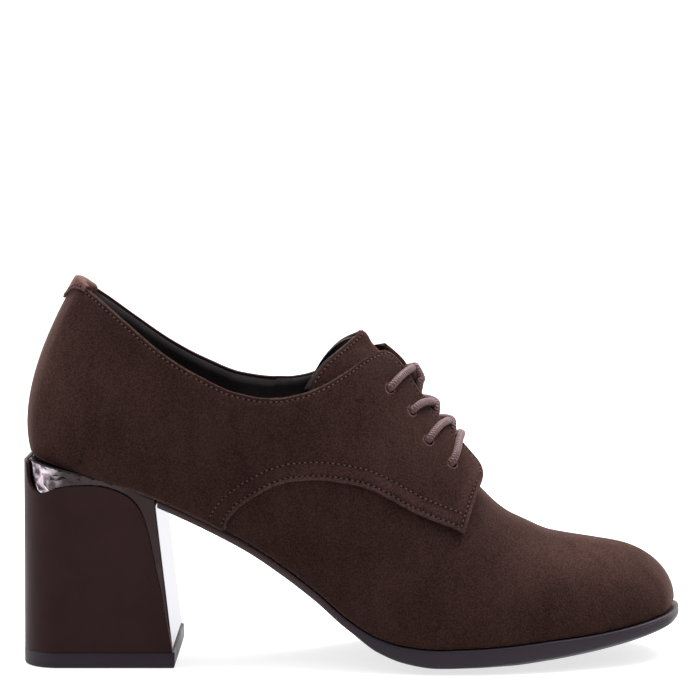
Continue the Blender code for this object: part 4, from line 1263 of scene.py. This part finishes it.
# Lace: one round cord through the four pairs of holes, both ends hidden under the top pair
lace = {
    "radius": 1.4, "around": 14, "step": 0.45, "barDrop": 0.55,
    # Share of the way to the next hole, place across, height above the last
    "near": [(0.0, 1.0, -1.1), (0.0, 0.99, 0.4), (0.01, 0.93, 1.9), (0.05, 0.75, 2.75), (0.14, 0.5, 3.0),
             (0.24, 0.3, 3.1), (0.31, 0.15, 2.8), (0.37, 0.02, 1.9), (0.45, -0.07, 1.2), (0.58, -0.12, 0.8),
             (0.70, -0.13, 0.2), (0.78, -0.16, -0.7), (0.84, -0.3, -1.1), (0.90, -0.65, -1.1), (0.97, -0.88, -1.1)],
    "far": [(0.0, 1.0, -1.1), (0.0, 0.99, 0.4), (0.01, 0.93, 1.9), (0.05, 0.75, 2.7), (0.12, 0.5, 2.9),
            (0.2, 0.3, 3.1), (0.28, 0.14, 3.3), (0.36, 0.03, 3.4), (0.46, -0.05, 3.1), (0.58, -0.10, 2.5),
            (0.70, -0.12, 1.5), (0.80, -0.14, 0.1), (0.85, -0.22, -1.05), (0.90, -0.6, -1.1), (0.97, -0.88, -1.1)],
    "bar": [(0.0, 1.0, -1.1), (0.0, 0.99, 0.4), (-0.02, 0.93, 1.9), (-0.08, 0.75, 2.75), (-0.18, 0.40, 2.8),
            (-0.27, 0.0, 2.6), (-0.18, -0.40, 2.8), (-0.08, -0.75, 2.75), (-0.02, -0.93, 1.9), (0.0, -0.99, 0.4),
            (0.0, -1.0, -1.1)],
    "lean": [-0.15, 1.0, 0.6], "tuck": [0.78, 1.0, 0.75], "loose": [0.2, 0.0, -0.3],   # for each pair of holes
}


def lacePoint(row, y, height):
    u = row if y <= 0.0 else ringLength - row
    s = firstS(lambda s: fromRidge(u, s) <= abs(y), 0.5)
    return lastPoint(u, s) + ridgeNormal(u, s) * (height + facingLift(u, s))


def laceRun(kind, hole, side):   # from a hole on one side (-1 lateral) to below the next hole on the other
    row, away = shoe["holes"][hole]
    nextRow, nextAway = shoe["holes"][hole + 1] if kind != "bar" else (row + lace["barDrop"], away)
    points = []
    for share, across, height in lace[kind]:
        reach = away if across > 0.0 else nextAway
        if kind != "bar" and across >= 0.0:
            share *= lace["lean"][hole]
        elif kind != "bar" and across < 0.1:
            share *= lace["tuck"][hole] + (1.0 - lace["tuck"][hole]) * ramp(share, 0.6, 0.9)
            height += lace["loose"][hole] * ramp(height, 0.5, 1.5)
        points.append(lacePoint(row + (nextRow - row) * share, side * across * reach, height))
    return points


def smoothLine(points, step):   # even steps along a curve through the points
    fine = []
    for i in range(len(points) - 1):
        p0, p1, p2 = points[max(i - 1, 0)], points[i], points[i + 1]
        p3 = points[min(i + 2, len(points) - 1)]
        for k in range(12):
            t = k / 12
            fine.append(0.5 * (2 * p1 + (p2 - p0) * t + (2 * p0 - 5 * p1 + 4 * p2 - p3) * t * t
                               + (3 * p1 - p0 - 3 * p2 + p3) * t * t * t))
    fine.append(points[-1])
    line, left = [fine[0]], step
    for a, b in zip(fine, fine[1:]):
        length = (b - a).length
        while left <= length:
            line.append(a.lerp(b, left / length))
            left += step
        left -= length
    return line


def tube(line, radius, around):   # round cord along a line, with its length and turn as UV
    frames, side = [], Vector((0, 0, 1))
    for i in range(len(line)):
        run = (line[min(i + 1, len(line) - 1)] - line[max(i - 1, 0)]).normalized()
        side = (side - run * side.dot(run)).normalized()
        frames.append((side, run.cross(side)))

    def place(i, k):
        turn = 2.0 * math.pi * k / around
        first, second = frames[i]
        return line[i] + (first * math.cos(turn) + second * math.sin(turn)) * radius
    bm = gridSheet(len(line) - 1, around, place, withUv=True)
    closeUp(bm)
    return bm


def makeLace():
    path = laceRun("near", 0, -1) + laceRun("far", 1, 1) + laceRun("near", 2, -1) + laceRun("bar", 3, 1)
    path += laceRun("far", 2, 1)[::-1] + laceRun("near", 1, -1)[::-1] + laceRun("far", 0, 1)[::-1]
    line = smoothLine(path, lace["step"])
    makePiece("lace_cord", tube(line, lace["radius"], lace["around"]), ["cord"], ["lace"])


makeLace()
